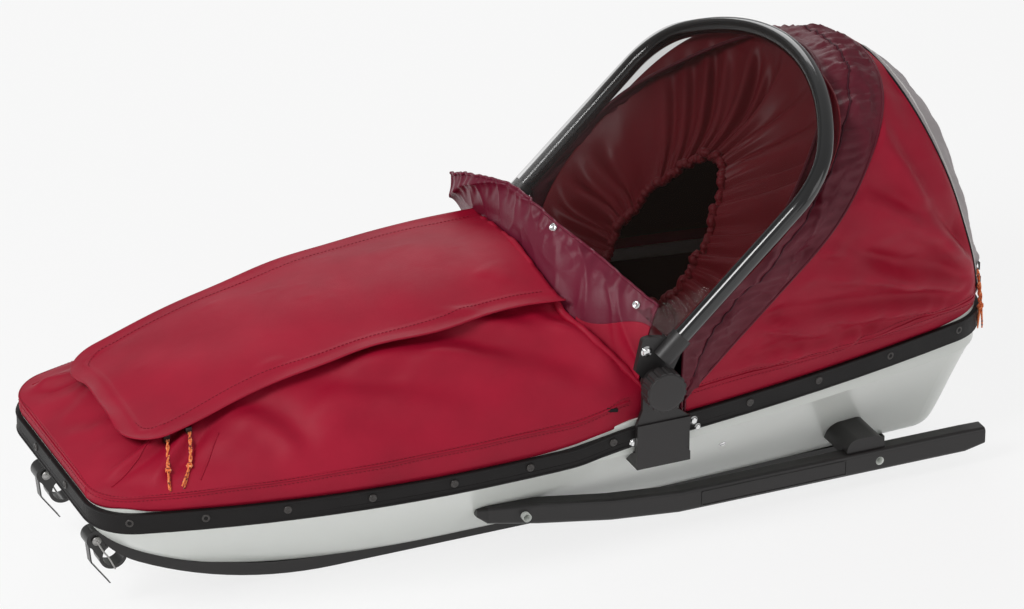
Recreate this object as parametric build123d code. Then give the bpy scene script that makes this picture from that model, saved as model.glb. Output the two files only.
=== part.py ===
from build123d import *
import os
from math import cos, radians, sin, sqrt, tan

# Child carrier pulk: a moulded sled hull with runners, a soft front cover and hood,
# and a tilting windscreen on a tube arch. Millimetres, +X to the bow, +Y to port, +Z up.
# The origin is on the ground under the middle of the rail's length.

# Overall sizes
OVERALL_LENGTH = 1425.0
BEAM_HALF = 281.0
RAIL_THICK = 6.0
RAIL_HEIGHT = 30.0
RAIL_BOTTOM = 170.0
HULL_WALL = 4.0
LIP_HEIGHT = 9.0
FLOOR_CLEARANCE = 10.0
SEAT_GAP = 0.3

BOW_X = OVERALL_LENGTH / 2 - RAIL_THICK
STERN_X = -OVERALL_LENGTH / 2 + RAIL_THICK
PIVOT_X = STERN_X + 600.5
WIDEST_X = PIVOT_X + 276.0
PIVOT_Z = 279.0

# Gunwale: the rail steps up at the bracket and rises gently to the stern
STEP_FRONT_X = PIVOT_X + 136.0
STEP_REAR_X = PIVOT_X + 36.0
STEP_RISE = 12.0
STERN_RISE = 10.0
STEP_BEND_R = 250.0
RIM_CUT_TOP = 330.0

RIM_HALF = BEAM_HALF - RAIL_THICK
RIM_BOW_HALF = 186.0
RIM_STERN_HALF = 156.0
BOW_CORNER_R = 72.0
STERN_CORNER_R = 84.0

# Tub: level outlines from the floor up to the foot of the rim.
# Columns: height over the floor, set-back of the bow, set-back of the stern,
# half width at the bow, at the widest place and at the stern, corner radius at bow and at stern
RIM_FOOT = 158.0
TUB_LEVELS = [
    (0.0, 376.0, 66.0, 88.0, 98.0, 82.0, 24.0, 34.0),
    (7.0, 286.0, 52.0, 98.0, 127.0, 100.0, 30.0, 42.0),
    (25.0, 200.0, 43.0, 106.0, 152.0, 112.0, 36.0, 52.0),
    (70.0, 92.0, 29.0, 126.0, 190.0, 128.0, 46.0, 64.0),
    (110.0, 36.0, 17.0, 152.0, 224.0, 141.0, 58.0, 74.0),
    (RIM_FOOT, 1.5, 1.5, RIM_BOW_HALF - 1.5, RIM_HALF - 2.0, RIM_STERN_HALF - 1.0, 71.0, 83.0),
]

# Bottom runners, two strips that follow the bow's curve
RUNNER_Y = 106.0
RUNNER_WIDTH = 26.0
RUNNER_BEND_X = BOW_X - 376.5
RUNNER_BEND_R = 630.0
RUNNER_BOW_R = 150.0
RUNNER_BEND_ANGLE = 27.8
RUNNER_TIP_ANGLE = 30.0
RUNNER_REAR_X = STERN_X + 146.5

# Side runners. Columns: distance ahead of the stern, outer face y, underside z, height, thickness
SIDE_RUNNER_SECTIONS = [
    (848.5, 203.0, 78.0, 12.0, 12.0),
    (834.5, 211.0, 68.0, 26.0, 22.0),
    (758.5, 219.0, 55.0, 34.0, 28.0),
    (644.5, 224.0, 38.0, 35.0, 28.0),
    (536.5, 226.0, 28.0, 35.0, 28.0),
    (66.5, 226.0, 27.0, 35.0, 28.0),
    (34.5, 226.0, 34.0, 27.0, 28.0),
]
SIDE_ROUND = 0.22
# Through holes, columns: distance ahead of the stern, z
SIDE_HOLES = [(779.5, 74.0), (210.5, 44.0)]
SIDE_HOLE_R = 6.5
LUG_X = STERN_X + 230.5
LUG_LENGTH = 62.0
LUG_LOW = 54.0
LUG_TOP = 84.0
LUG_ROUND = 18.0

# Tow brackets under the bow, places as (forward, up) from the tip of the runner's underside
TOW_LOOP = (-24.256, -38.141)
TOW_LOOP_R = 21.0
TOW_BAND = 5.0
TOW_WIDTH = 26.0
TOW_JAW = (0.744, -8.141)
TOW_JAW_R = 14.0
TOW_PIN_R = 5.0
TOW_WEB = 11.5
TOW_WEB_FRONT = (8.4, -9.8)
CLIP_THICK = 2.0
CLIP_WIDTH = 14.0
CLIP_TIP = (-19.256, -85.141)
CLIP_START = (10.4, -5.6)
CLIP_BEND = 7.0

# Screen arch, in the frame of its own plane: the pivot is its origin and it leans aft
ARCH_LEAN = 46.8
ARCH_HALF = RIM_HALF
ARCH_OFFSET = 22.0
ARCH_FOOT = 34.0
ARCH_LEG = 314.0
ARCH_CORNER_R = 120.0
ARCH_APEX = 488.0
TUBE_R = 12.5
TUBE_WALL = 2.0
SCREEN_THICK = 3.0
# Windscreen bow, columns: distance up the arch, bulge ahead of the tube
SCREEN_BOWS = [(58.0, 92.0), (150.0, 78.0), (260.0, 52.0), (350.0, 26.0)]
SCREEN_OVERLAP = 7.5
FOOT_WIDTH = 40.0
FOOT_THICK = 9.0
SOCKET_WALL = 3.5
SOCKET_TOP = 74.0
FOOT_TOP = 59.0
# Gusset ahead of the socket, corners as (ahead of the pivot plane, up the lean)
GUSSET_LINE = [(0.0, -10.0), (38.0, -8.0), (66.0, 33.0), (60.0, 42.0), (42.0, 55.0)]
GUSSET_CORNER_R = 5.0

# Clamp brackets and knobs
BRACKET_WIDTH = 84.0
BRACKET_X = PIVOT_X - 10.0
BRACKET_FOOT_Z = 147.0
BRACKET_CREASE_Z = 217.0
BRACKET_PLATE = 6.0
BRACKET_HEAD_WIDTH = 46.0
BRACKET_FLANGE = 86.0
DOUBLER_THICK = 3.0
DOUBLER_NOTCH = 6.0
DOUBLER_NOTCH_LOW = 14.0
DOUBLER_NOTCH_TOP = 56.0
PIVOT_BOLT_R = 5.0
BOLT_HEAD_R = 8.0
KNOB_R = 31.0
KNOB_THICK = 22.0
KNOB_HUB_R = 17.0
KNOB_HUB = 9.0
KNOB_FLUTES = 16
KNOB_FLUTE_R = 3.2
KNOB_FLUTE_OUT = 1.4

# Front cover. Columns: distance behind the bow, hem height over the rail, crown height.
# The stations spread with the run from the bow to COVER_END_X
FABRIC = 4.0
COVER_STATIONS = [
    (0.5, 24.0, 233.0),
    (66.5, 26.0, 267.0),
    (166.5, 30.0, 313.0),
    (286.5, 34.0, 351.0),
    (466.5, 39.0, 387.0),
    (666.5, 40.0, 401.0),
    (816.5, 40.0, 401.0),
]
COVER_END_X = PIVOT_X - 4.0
COVER_REAR_TOP_X = PIVOT_X + 102.0
COVER_REAR_TOP_Z = 392.0
COVER_REAR_SLOPE = 0.40
FLAP_THICK = 3.0
FLAP_FRONT_X = BOW_X - 62.5
FLAP_HALF = 132.0
FLAP_CORNER_R = 58.0
COLLAR_RISE = 52.0
COLLAR_HALF = 232.0
COLLAR_END_Z = 288.0
COLLAR_THICK = 3.0

# Hood. Columns: distance ahead of the stern, set-in from the rim at its foot,
# half width at the shoulder, shoulder height, crown height
HOOD_STATIONS = [
    (666.5, 0.0, 277.0, 470.0, 648.0),
    (536.5, 0.0, 275.0, 470.0, 648.0),
    (396.5, 0.0, 270.0, 466.0, 648.0),
    (251.5, 0.0, 252.0, 440.0, 645.0),
    (146.5, 0.0, 226.0, 400.0, 612.0),
    (66.5, 3.0, 190.0, 345.0, 528.0),
    (6.5, 34.0, 136.0, 278.0, 360.0),
]
BAND_GAP = 1.0
HOOD_NOTCH = 46.0
NOTCH_RISE = 60.0
BAND_WIDTH = 80.0
REAR_PANEL_LOW_X = STERN_X + 16.5
REAR_PANEL_LOW_Z = 262.0
REAR_PANEL_TOP_X = STERN_X + 116.5
REAR_PANEL_TOP_Z = 545.0
# Lining funnel in the arch's plane.
# Columns: place ahead of the pivot plane, half width, low end, high end
LINING_RINGS = [
    (-14.0, 232.0, 78.0, 440.0),
    (-96.0, 190.0, 80.0, 414.0),
    (-178.0, 138.0, 104.0, 344.0),
]
LINING_THICK = 3.0
LINING_CORNER = 0.7

# Seat
SEAT_FRONT_X = PIVOT_X + 166.0
SEAT_HINGE_X = PIVOT_X - 194.0
SEAT_HALF = 84.0
SEAT_THICK = 34.0
SEAT_EDGE = 10.0
BACK_FRONT = 44.0
BACK_FOOT = 48.0
BACK_EDGE = 14.0
BACK_TOP_X = PIVOT_X - 414.0
BACK_TOP_Z = 300.0
BACK_HALF = 80.0

# Zip pulls. Columns: name, slider centre, cord route from the slider.
# The slider's x is the distance behind the bow in front, and ahead of the stern at the rear
SLIDER = (9.0, 6.0, 12.0)
CORD_R = 2.2
BEND_SHARE = 0.45
FRONT_PULLS = [
    (
        "left",
        (118.5, 140.5, 273.0),
        [(-1.0, 2.5, -1.0), (7.5, 25.7, -12.2), (16.2, 47.8, -24.7), (23.6, 73.7, -42.0)],
    ),
    (
        "right",
        (149.5, 145.5, 281.0),
        [(-1.0, 2.5, -1.0), (7.6, 29.9, -14.5), (17.8, 51.8, -29.9), (36.4, 72.1, -46.5)],
    ),
]
REAR_PULLS = [
    (
        "upper",
        (16.5, 145.0, 290.0),
        [(0.0, 3.5, -4.0), (-3.0, 10.0, -38.0), (-4.0, 12.0, -68.0), (-3.0, 12.5, -98.0)],
    ),
    (
        "lower",
        (11.5, 140.0, 264.0),
        [(0.0, 3.5, -4.0), (-2.0, 9.0, -34.0), (-1.0, 11.0, -64.0)],
    ),
]


def drop(x, reach, half, end_half):
    """Half width at x on a side that falls from half at WIDEST_X to end_half at reach."""
    share = (x - WIDEST_X) / (reach - WIDEST_X)
    return half - (half - end_half) * share * share


def rim_half(x):
    """Half width of the hull's rim at x."""
    if x > WIDEST_X:
        return drop(x, BOW_X, RIM_HALF, RIM_BOW_HALF)
    return drop(x, STERN_X, RIM_HALF, RIM_STERN_HALF)


def outline(z, bow, stern, bow_half, half, stern_half, bow_r, stern_r):
    """Closed level outline of the boat: straight ends, rounded corners, two arcs each side."""
    front_mid = (bow + WIDEST_X) / 2
    rear_mid = (stern + WIDEST_X) / 2
    front_y = drop(front_mid, bow, half, bow_half)
    rear_y = drop(rear_mid, stern, half, stern_half)
    edges = [
        Line((bow, -bow_half), (bow, bow_half)),
        ThreePointArc((bow, bow_half), (front_mid, front_y), (WIDEST_X, half)),
        ThreePointArc((WIDEST_X, half), (rear_mid, rear_y), (stern, stern_half)),
        Line((stern, stern_half), (stern, -stern_half)),
        ThreePointArc((stern, -stern_half), (rear_mid, -rear_y), (WIDEST_X, -half)),
        ThreePointArc((WIDEST_X, -half), (front_mid, -front_y), (bow, -bow_half)),
    ]
    face = make_face(edges)
    bow_corners = face.vertices().filter_by(lambda v: abs(v.X - bow) < 0.01)
    face = fillet(bow_corners, bow_r)
    stern_corners = face.vertices().filter_by(lambda v: abs(v.X - stern) < 0.01)
    face = fillet(stern_corners, stern_r)
    return Pos(0, 0, z) * face


def rim_outline(grow):
    """Rim outline at ground level, grown outward by grow."""
    halves = [half + grow for half in (RIM_BOW_HALF, RIM_HALF, RIM_STERN_HALF)]
    return outline(0.0, BOW_X + grow, STERN_X - grow, *halves, BOW_CORNER_R + grow, STERN_CORNER_R + grow)


def tub(inset):
    """Solid tub from the floor to the rim's foot, with its outlines drawn in by inset."""
    levels = []
    for over, bow_back, stern_back, bow_half, half, stern_half, bow_r, stern_r in TUB_LEVELS:
        levels.append(
            outline(
                FLOOR_CLEARANCE + over + (inset if over < RIM_FOOT else 0.0),
                BOW_X - bow_back - inset, STERN_X + stern_back + inset,
                bow_half - inset, half - inset, stern_half - inset, bow_r - inset, stern_r - inset,
            )
        )
    return loft(levels)


def side_band(low, high):
    """Slab across the beam between two heights over the rail's lower line, with its step."""
    reach = OVERALL_LENGTH
    line = [
        (reach, RAIL_BOTTOM),
        (STEP_FRONT_X, RAIL_BOTTOM),
        (STEP_REAR_X, RAIL_BOTTOM + STEP_RISE),
        (-reach, RAIL_BOTTOM + STEP_RISE + STERN_RISE * reach / -STERN_X),
    ]
    lower = FilletPolyline([(x, 0, z + low) for x, z in line], radius=STEP_BEND_R)
    if high is None:
        corner = [(-reach, 0, reach), (reach, 0, reach)]
        edges = [lower, Polyline(lower @ 1, *corner, lower @ 0)]
    else:
        upper = FilletPolyline([(x, 0, z + high) for x, z in line], radius=STEP_BEND_R)
        edges = [lower, upper, Line(lower @ 0, upper @ 0), Line(lower @ 1, upper @ 1)]
    return extrude(make_face(edges), amount=OVERALL_LENGTH, both=True)


def write(shape, name):
    """Store one piece as its own file."""
    export_step(shape, f"parts/{name}.step")


def both_sides(shape, name):
    """Store a port piece and its mirror image to starboard."""
    write(shape, f"{name}_left")
    write(mirror(shape, Plane.XZ), f"{name}_right")


def in_arch(shape):
    """Place a shape drawn in the arch's plane: x ahead of the plane, z up the lean."""
    return Pos(PIVOT_X, 0, PIVOT_Z) * Rot(0, -ARCH_LEAN, 0) * shape


os.makedirs("parts", exist_ok=True)

# Hull: tub with a level rim wall on top, cut to the stepped lip
rim_low = FLOOR_CLEARANCE + RIM_FOOT
lip = RAIL_HEIGHT + LIP_HEIGHT
above_lip = side_band(lip, None)
rim_prism = Pos(0, 0, rim_low) * extrude(rim_outline(0), amount=RIM_CUT_TOP - rim_low)
hull_outer = tub(0) + rim_prism
rim_inner = Pos(0, 0, rim_low) * extrude(rim_outline(-HULL_WALL), amount=RIM_CUT_TOP - rim_low)
hull_shell = hull_outer - tub(HULL_WALL) - rim_inner - above_lip
write(hull_shell, "hull_shell")

# Gunwale rail round the rim
rail_ring = extrude(rim_outline(RAIL_THICK), amount=RIM_CUT_TOP) - extrude(rim_outline(0), amount=RIM_CUT_TOP)
gunwale_rail = rail_ring & side_band(0, RAIL_HEIGHT)
write(gunwale_rail, "gunwale_rail")

# Bottom runners, trimmed to seat under the hull
seat_under = Pos(0, 0, -SEAT_GAP) * hull_outer


def runner_line(depth):
    """Side view of the runner's line, depth below the hull's floor."""
    first = RUNNER_BEND_R + depth
    second = RUNNER_BOW_R + depth
    low = FLOOR_CLEARANCE - depth
    flat = Line((RUNNER_REAR_X, low), (RUNNER_BEND_X, low))
    bend = JernArc(flat @ 1, flat % 1, first, RUNNER_BEND_ANGLE)
    tip = JernArc(bend @ 1, bend % 1, second, RUNNER_TIP_ANGLE)
    return flat, bend, tip


lower = runner_line(FLOOR_CLEARANCE)
upper = runner_line(-FLOOR_CLEARANCE)
runner_face = make_face([*lower, *upper, Line(lower[0] @ 0, upper[0] @ 0), Line(lower[2] @ 1, upper[2] @ 1)])
runner_bar = extrude(Plane.XZ * runner_face, amount=RUNNER_WIDTH / 2, both=True)
bottom_runner = Pos(0, RUNNER_Y, 0) * runner_bar - seat_under
both_sides(bottom_runner, "bottom_runner")

# Side runners: a beam that lies on the hull's flare in front and stands off behind, on a lug
seat_beside = Pos(0, SEAT_GAP, 0) * hull_outer
beam_sections = []
for ahead, face_y, low, height, thick in SIDE_RUNNER_SECTIONS:
    centre = Plane((STERN_X + ahead, face_y - thick / 2, low + height / 2), x_dir=(0, 1, 0), z_dir=(1, 0, 0))
    beam_sections.append(centre * RectangleRounded(thick, height, min(thick, height) * SIDE_ROUND))
beam = loft(beam_sections, ruled=True)
_, beam_y, _, _, beam_thick = SIDE_RUNNER_SECTIONS[4]
lug_face = Pos(LUG_X, (LUG_LOW + LUG_TOP) / 2) * Rectangle(LUG_LENGTH, LUG_TOP - LUG_LOW)
lug_face = fillet(lug_face.vertices().group_by(Axis.Y)[-1], LUG_ROUND)
lug = Pos(0, beam_y - beam_thick / 4, 0) * extrude(Plane.XZ * lug_face, amount=beam_y - RUNNER_Y)
side_runner = beam + lug
for hole_ahead, hole_z in SIDE_HOLES:
    hole = Rot(90, 0, 0) * Cylinder(SIDE_HOLE_R, 2 * beam_y)
    side_runner = side_runner - Pos(STERN_X + hole_ahead, beam_y, hole_z) * hole
side_runner = side_runner - seat_beside
both_sides(side_runner, "side_runner")

# Tow brackets: a band loop under the runner's tip, a jaw with a cross pin hole, and a spring clip
runner_tip = lower[2] @ 1
loop_at = Pos(runner_tip.X + TOW_LOOP[0], runner_tip.Y + TOW_LOOP[1])
jaw_at = Pos(runner_tip.X + TOW_JAW[0], runner_tip.Y + TOW_JAW[1])
loop_x, loop_z = loop_at.position.X, loop_at.position.Y
jaw_x, jaw_z = jaw_at.position.X, jaw_at.position.Y
web_line = [
    (jaw_x - TOW_JAW_R, jaw_z),
    (jaw_x + TOW_WEB_FRONT[0], jaw_z + TOW_WEB_FRONT[1]),
    (loop_x + TOW_LOOP_R - 1, loop_z - CLIP_THICK),
    (loop_x + TOW_WEB, loop_z + TOW_LOOP_R - TOW_BAND),
]
web = make_face(Polyline(*web_line, close=True))
tow_face = loop_at * Circle(TOW_LOOP_R) + jaw_at * Circle(TOW_JAW_R) + web
tow_face = tow_face - jaw_at * Circle(TOW_PIN_R) - loop_at * Circle(TOW_LOOP_R - TOW_BAND)
tow = Pos(0, RUNNER_Y, 0) * extrude(Plane.XZ * tow_face, amount=TOW_WIDTH / 2, both=True)
lower_room = runner_line(FLOOR_CLEARANCE + SEAT_GAP)
room_ends = [Line(lower_room[0] @ 0, upper[0] @ 0), Line(lower_room[2] @ 1, upper[2] @ 1)]
room_face = make_face([*lower_room, *upper, *room_ends])
runner_room = Pos(0, RUNNER_Y, 0) * extrude(Plane.XZ * room_face, amount=RUNNER_WIDTH, both=True)
tow = tow - runner_room - seat_under
both_sides(tow, "tow_bracket")
clip_tip = (runner_tip.X + CLIP_TIP[0], runner_tip.Y + CLIP_TIP[1])
clip_start = (jaw_x + CLIP_START[0], jaw_z + CLIP_START[1])
clip_line = [clip_start, (jaw_x + CLIP_BEND, (jaw_z + clip_tip[1]) / 2), clip_tip]
clip_front = Polyline(*clip_line)
clip_back = Polyline(*[(x - CLIP_THICK, z) for x, z in clip_line])
clip_ends = [Line(clip_front @ 0, clip_back @ 0), Line(clip_front @ 1, clip_back @ 1)]
clip_face = make_face([clip_front, clip_back, *clip_ends]) - jaw_at * Circle(TOW_JAW_R + SEAT_GAP)
clip = extrude(Plane.XZ * clip_face, amount=CLIP_WIDTH / 2, both=True)
both_sides(Pos(0, RUNNER_Y, 0) * clip, "tow_clip")

# Clamp brackets: a flanged plate over the rail with a round head at the pivot
plate_y = rim_half(BRACKET_X + BRACKET_WIDTH / 2) + RAIL_THICK + SEAT_GAP
head_r = BRACKET_HEAD_WIDTH / 2
plate_face = make_face(
    Polyline(
        (BRACKET_X - BRACKET_WIDTH / 2, BRACKET_FOOT_Z), (BRACKET_X + BRACKET_WIDTH / 2, BRACKET_FOOT_Z),
        (BRACKET_X + BRACKET_WIDTH / 2, BRACKET_CREASE_Z), (PIVOT_X + head_r, BRACKET_CREASE_Z + head_r),
        (PIVOT_X + head_r, PIVOT_Z), (PIVOT_X - head_r, PIVOT_Z),
        (PIVOT_X - head_r, BRACKET_CREASE_Z + head_r), (BRACKET_X - BRACKET_WIDTH / 2, BRACKET_CREASE_Z),
        close=True,
    )
)
plate_face = plate_face + Pos(PIVOT_X, PIVOT_Z) * Circle(head_r)
plate_face = plate_face - Pos(PIVOT_X, PIVOT_Z) * Circle(PIVOT_BOLT_R + SEAT_GAP)
plate = Pos(0, plate_y + BRACKET_PLATE, 0) * extrude(Plane.XZ * plate_face, amount=BRACKET_PLATE)
rear_edge = BRACKET_X - BRACKET_WIDTH / 2
notch_low = BRACKET_FOOT_Z + DOUBLER_NOTCH_LOW
notch_top = BRACKET_FOOT_Z + DOUBLER_NOTCH_TOP
doubler_face = make_face(
    Polyline(
        (rear_edge, BRACKET_FOOT_Z), (BRACKET_X + BRACKET_WIDTH / 2, BRACKET_FOOT_Z),
        (BRACKET_X + BRACKET_WIDTH / 2, BRACKET_CREASE_Z), (rear_edge, BRACKET_CREASE_Z),
        (rear_edge, notch_top),
        (rear_edge + DOUBLER_NOTCH, notch_top - DOUBLER_NOTCH),
        (rear_edge + DOUBLER_NOTCH, notch_low + DOUBLER_NOTCH), (rear_edge, notch_low),
        close=True,
    )
)
doubler = extrude(Plane.XZ * doubler_face, amount=DOUBLER_THICK)
plate = plate + Pos(0, plate_y + BRACKET_PLATE + DOUBLER_THICK, 0) * doubler
flange_height = RAIL_BOTTOM - BRACKET_FOOT_Z
for end in (-1, 1):
    flange_x = BRACKET_X + end * (BRACKET_WIDTH - BRACKET_PLATE) / 2
    flange = Pos(flange_x, plate_y - BRACKET_FLANGE / 2, BRACKET_FOOT_Z + flange_height / 2)
    flange = flange * Box(BRACKET_PLATE, BRACKET_FLANGE, flange_height)
    plate = plate + flange
bracket = plate - seat_beside
both_sides(bracket, "screen_bracket")

# Knobs with the pivot bolt
foot_face_y = plate_y - SEAT_GAP
foot_back_y = foot_face_y - FOOT_THICK
knob_disc = Circle(KNOB_R)
for flute in range(KNOB_FLUTES):
    groove = Pos(KNOB_R + KNOB_FLUTE_OUT, 0) * Circle(KNOB_FLUTE_R)
    knob_disc = knob_disc - Rot(0, 0, flute * 360 / KNOB_FLUTES) * groove
knob_base = plate_y + BRACKET_PLATE + SEAT_GAP
knob = Pos(0, 0, KNOB_HUB) * extrude(knob_disc, amount=KNOB_THICK)
knob = knob + Pos(0, 0, KNOB_HUB / 2) * Cylinder(KNOB_HUB_R, KNOB_HUB)
bolt_length = knob_base - foot_back_y + SEAT_GAP + BRACKET_PLATE
knob = knob + Pos(0, 0, -bolt_length / 2) * Cylinder(PIVOT_BOLT_R, bolt_length)
knob = knob + Pos(0, 0, -bolt_length + BRACKET_PLATE / 2) * Cylinder(BOLT_HEAD_R, BRACKET_PLATE)
knob = Pos(PIVOT_X, knob_base, PIVOT_Z) * Rot(-90, 0, 0) * knob
both_sides(knob, "screen_knob")

# Arch tube: straight legs, corner arcs and a flatter top arc, all tangent
corner_y = ARCH_HALF - ARCH_CORNER_R
gap_z = ARCH_APEX - ARCH_LEG
top_r = (corner_y**2 + gap_z**2 - ARCH_CORNER_R**2) / (2 * (gap_z - ARCH_CORNER_R))
top_z = ARCH_APEX - top_r
corner_reach = ARCH_CORNER_R / (top_r - ARCH_CORNER_R)
join_y = corner_y * (1 + corner_reach)
join_z = ARCH_LEG + (ARCH_LEG - top_z) * corner_reach
mid_dir = Vector(1, 0, 0) + Vector(join_y - corner_y, join_z - ARCH_LEG, 0).normalized()
mid_dir = mid_dir.normalized() * ARCH_CORNER_R


def arch_line(low):
    """Centre line of the arch in its own plane, from low on one leg to low on the other."""
    corner_mid = (corner_y + mid_dir.X, ARCH_LEG + mid_dir.Y)
    return [
        Line((ARCH_HALF, low), (ARCH_HALF, ARCH_LEG)),
        ThreePointArc((ARCH_HALF, ARCH_LEG), corner_mid, (join_y, join_z)),
        ThreePointArc((join_y, join_z), (0, ARCH_APEX), (-join_y, join_z)),
        ThreePointArc((-join_y, join_z), (-corner_mid[0], corner_mid[1]), (-ARCH_HALF, ARCH_LEG)),
        Line((-ARCH_HALF, ARCH_LEG), (-ARCH_HALF, low)),
    ]


arch_plane = Plane((ARCH_OFFSET, 0, 0), x_dir=(0, 1, 0), z_dir=(1, 0, 0))
tube_wire = arch_plane * Wire(arch_line(ARCH_FOOT))
tube_ring = Circle(TUBE_R) - Circle(TUBE_R - TUBE_WALL)
tube_section = Plane(tube_wire @ 0, z_dir=tube_wire % 0) * tube_ring
arch_tube = sweep(tube_section, path=tube_wire)
write(in_arch(arch_tube), "arch_tube")

# Arch feet: a plate on the pivot and a socket round the tube's end
foot_line = [
    (-FOOT_WIDTH / 2, 0),
    (FOOT_WIDTH / 2, 0),
    (ARCH_OFFSET + FOOT_WIDTH / 2, FOOT_TOP),
    (ARCH_OFFSET - FOOT_WIDTH / 2, FOOT_TOP),
]
gusset_line = [*GUSSET_LINE, (ARCH_OFFSET, GUSSET_LINE[-1][1])]
gusset = make_face(Polyline(*gusset_line, close=True))
gusset_corners = gusset.vertices().sort_by(Axis.X)[-3:]
gusset = fillet(gusset_corners, GUSSET_CORNER_R)
foot_plate = make_face(Polyline(*foot_line, close=True)) + gusset
foot_plate = foot_plate + Circle(FOOT_WIDTH / 2) - Circle(PIVOT_BOLT_R + SEAT_GAP)
foot = Pos(0, foot_face_y, 0) * extrude(Plane.XZ * foot_plate, amount=FOOT_THICK)
socket_low = ARCH_FOOT - SOCKET_WALL
socket_height = SOCKET_TOP - socket_low
socket = Cylinder(TUBE_R + SOCKET_WALL, socket_height)
socket = Pos(ARCH_OFFSET, ARCH_HALF, socket_low + socket_height / 2) * socket
bore = Pos(ARCH_OFFSET, ARCH_HALF, ARCH_FOOT + socket_height / 2) * Cylinder(TUBE_R, socket_height)
both_sides(in_arch(foot + socket - bore), "arch_foot")

# Windscreen: a bowed sheet over the front of the tube
screen_x = ARCH_OFFSET + TUBE_R + SEAT_GAP
screen_half = ARCH_HALF + SCREEN_OVERLAP
sheets = []
for up, bulge in [*SCREEN_BOWS, (ARCH_APEX, SCREEN_THICK)]:
    back = ThreePointArc((screen_x, -screen_half), (screen_x + bulge, 0), (screen_x, screen_half))
    front = Pos(SCREEN_THICK, 0) * back
    strip = make_face([front, back, Line(front @ 0, back @ 0), Line(front @ 1, back @ 1)])
    sheets.append(Pos(0, 0, up) * strip)
screen_low = SCREEN_BOWS[0][0]
screen_edge = make_face([*arch_line(screen_low), Line((ARCH_HALF, screen_low), (-ARCH_HALF, screen_low))])
screen_edge = extrude(arch_plane * screen_edge, amount=ARCH_HALF)
windscreen = loft(sheets) & screen_edge
write(in_arch(windscreen), "windscreen")

# Front cover: a crowned fabric shell on the lip, cut off at a sloping rear edge
rim_z = RAIL_BOTTOM + lip
cover_base = rim_z - LIP_HEIGHT


def dome(grow):
    """Solid under the cover's crown, grown outward by grow."""
    sections = []
    spread = (BOW_X - COVER_END_X) / COVER_STATIONS[-1][0]
    for behind, hem, crown in COVER_STATIONS:
        x = BOW_X - behind * spread
        half = rim_half(x) - SEAT_GAP + grow
        edge = RAIL_BOTTOM + RAIL_HEIGHT + hem + grow
        arc = ThreePointArc((-half, edge), (0, crown + grow), (half, edge))
        face = make_face([arc, Polyline(arc @ 1, (half, cover_base), (-half, cover_base), arc @ 0)])
        sections.append(Plane((x, 0, 0), x_dir=(0, 1, 0), z_dir=(1, 0, 0)) * face)
    prism = extrude(rim_outline(grow - SEAT_GAP), amount=RIM_CUT_TOP * 2)
    return loft(sections) & prism


slope_length = sqrt(1 + COVER_REAR_SLOPE**2)
aft = Vector(-1 / slope_length, 0, COVER_REAR_SLOPE / slope_length)
rear_plane = Plane((COVER_REAR_TOP_X, 0, COVER_REAR_TOP_Z), x_dir=(0, -1, 0), z_dir=aft)
on_lip = side_band(lip + SEAT_GAP, None)
cover_solid = dome(0)
front_cover = split((cover_solid - dome(-FABRIC)) & on_lip, bisect_by=rear_plane, keep=Keep.BOTTOM)
write(front_cover, "front_cover")

# Zip flap on top of the cover
flap_length = FLAP_FRONT_X - COVER_REAR_TOP_X + COLLAR_RISE
flap_face = Pos(FLAP_FRONT_X - flap_length / 2, 0) * Rectangle(flap_length, FLAP_HALF * 2)
flap_face = fillet(flap_face.vertices().group_by(Axis.X)[-1], FLAP_CORNER_R)
flap = (dome(SEAT_GAP + FLAP_THICK) - dome(SEAT_GAP)) & extrude(flap_face, amount=RIM_CUT_TOP * 2)
cover_flap = split(flap, bisect_by=rear_plane, keep=Keep.BOTTOM)
write(cover_flap, "cover_flap")

# Lap collar: a stand-up band on the cover's rear edge that widens as it leans aft
collar_drop = COVER_REAR_TOP_Z - COLLAR_END_Z
collar_low = collar_drop * slope_length
collar_r = (COLLAR_HALF**2 + collar_low**2) / (2 * collar_low)


def collar_strip(rise):
    """Arc strip of the collar, rise above its foot."""
    strips = []
    for radius in (collar_r + rise, collar_r + rise - COLLAR_THICK):
        side = COLLAR_HALF * radius / collar_r
        top = radius - collar_r
        low = top - collar_low * radius / collar_r
        strips.append(ThreePointArc((-side, low), (0, top), (side, low)))
    outer, inner = strips
    return make_face([outer, inner, Line(outer @ 0, inner @ 0), Line(outer @ 1, inner @ 1)])


collar_foot = rear_plane.offset(SEAT_GAP) * collar_strip(0)
collar_top = rear_plane.offset(COLLAR_RISE) * collar_strip(COLLAR_RISE)
collar_room = Box(OVERALL_LENGTH, 2 * (foot_back_y - SEAT_GAP), OVERALL_LENGTH)
write(loft([collar_foot, collar_top]) & collar_room, "lap_collar")

# Hood: a shell from the arch to the stern, split into band, main panel and rear panel


def hood(inset):
    """Solid under the hood, drawn in by inset."""
    sections = []
    for ahead, set_in, half, shoulder, crown in HOOD_STATIONS:
        x = STERN_X + ahead
        low = (-(rim_half(x) - SEAT_GAP - set_in - inset), rim_z)
        high = (-(half - inset), shoulder)
        arc = ThreePointArc(high, (0, crown - inset), (-high[0], shoulder))
        sides = [Line(low, high), Line((-high[0], shoulder), (-low[0], rim_z))]
        face = make_face([arc, *sides, Line(low, (-low[0], rim_z))])
        place = x + inset if ahead == HOOD_STATIONS[-1][0] else x
        sections.append(Plane((place, 0, 0), x_dir=(0, 1, 0), z_dir=(1, 0, 0)) * face)
    return loft(sections)


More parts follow.
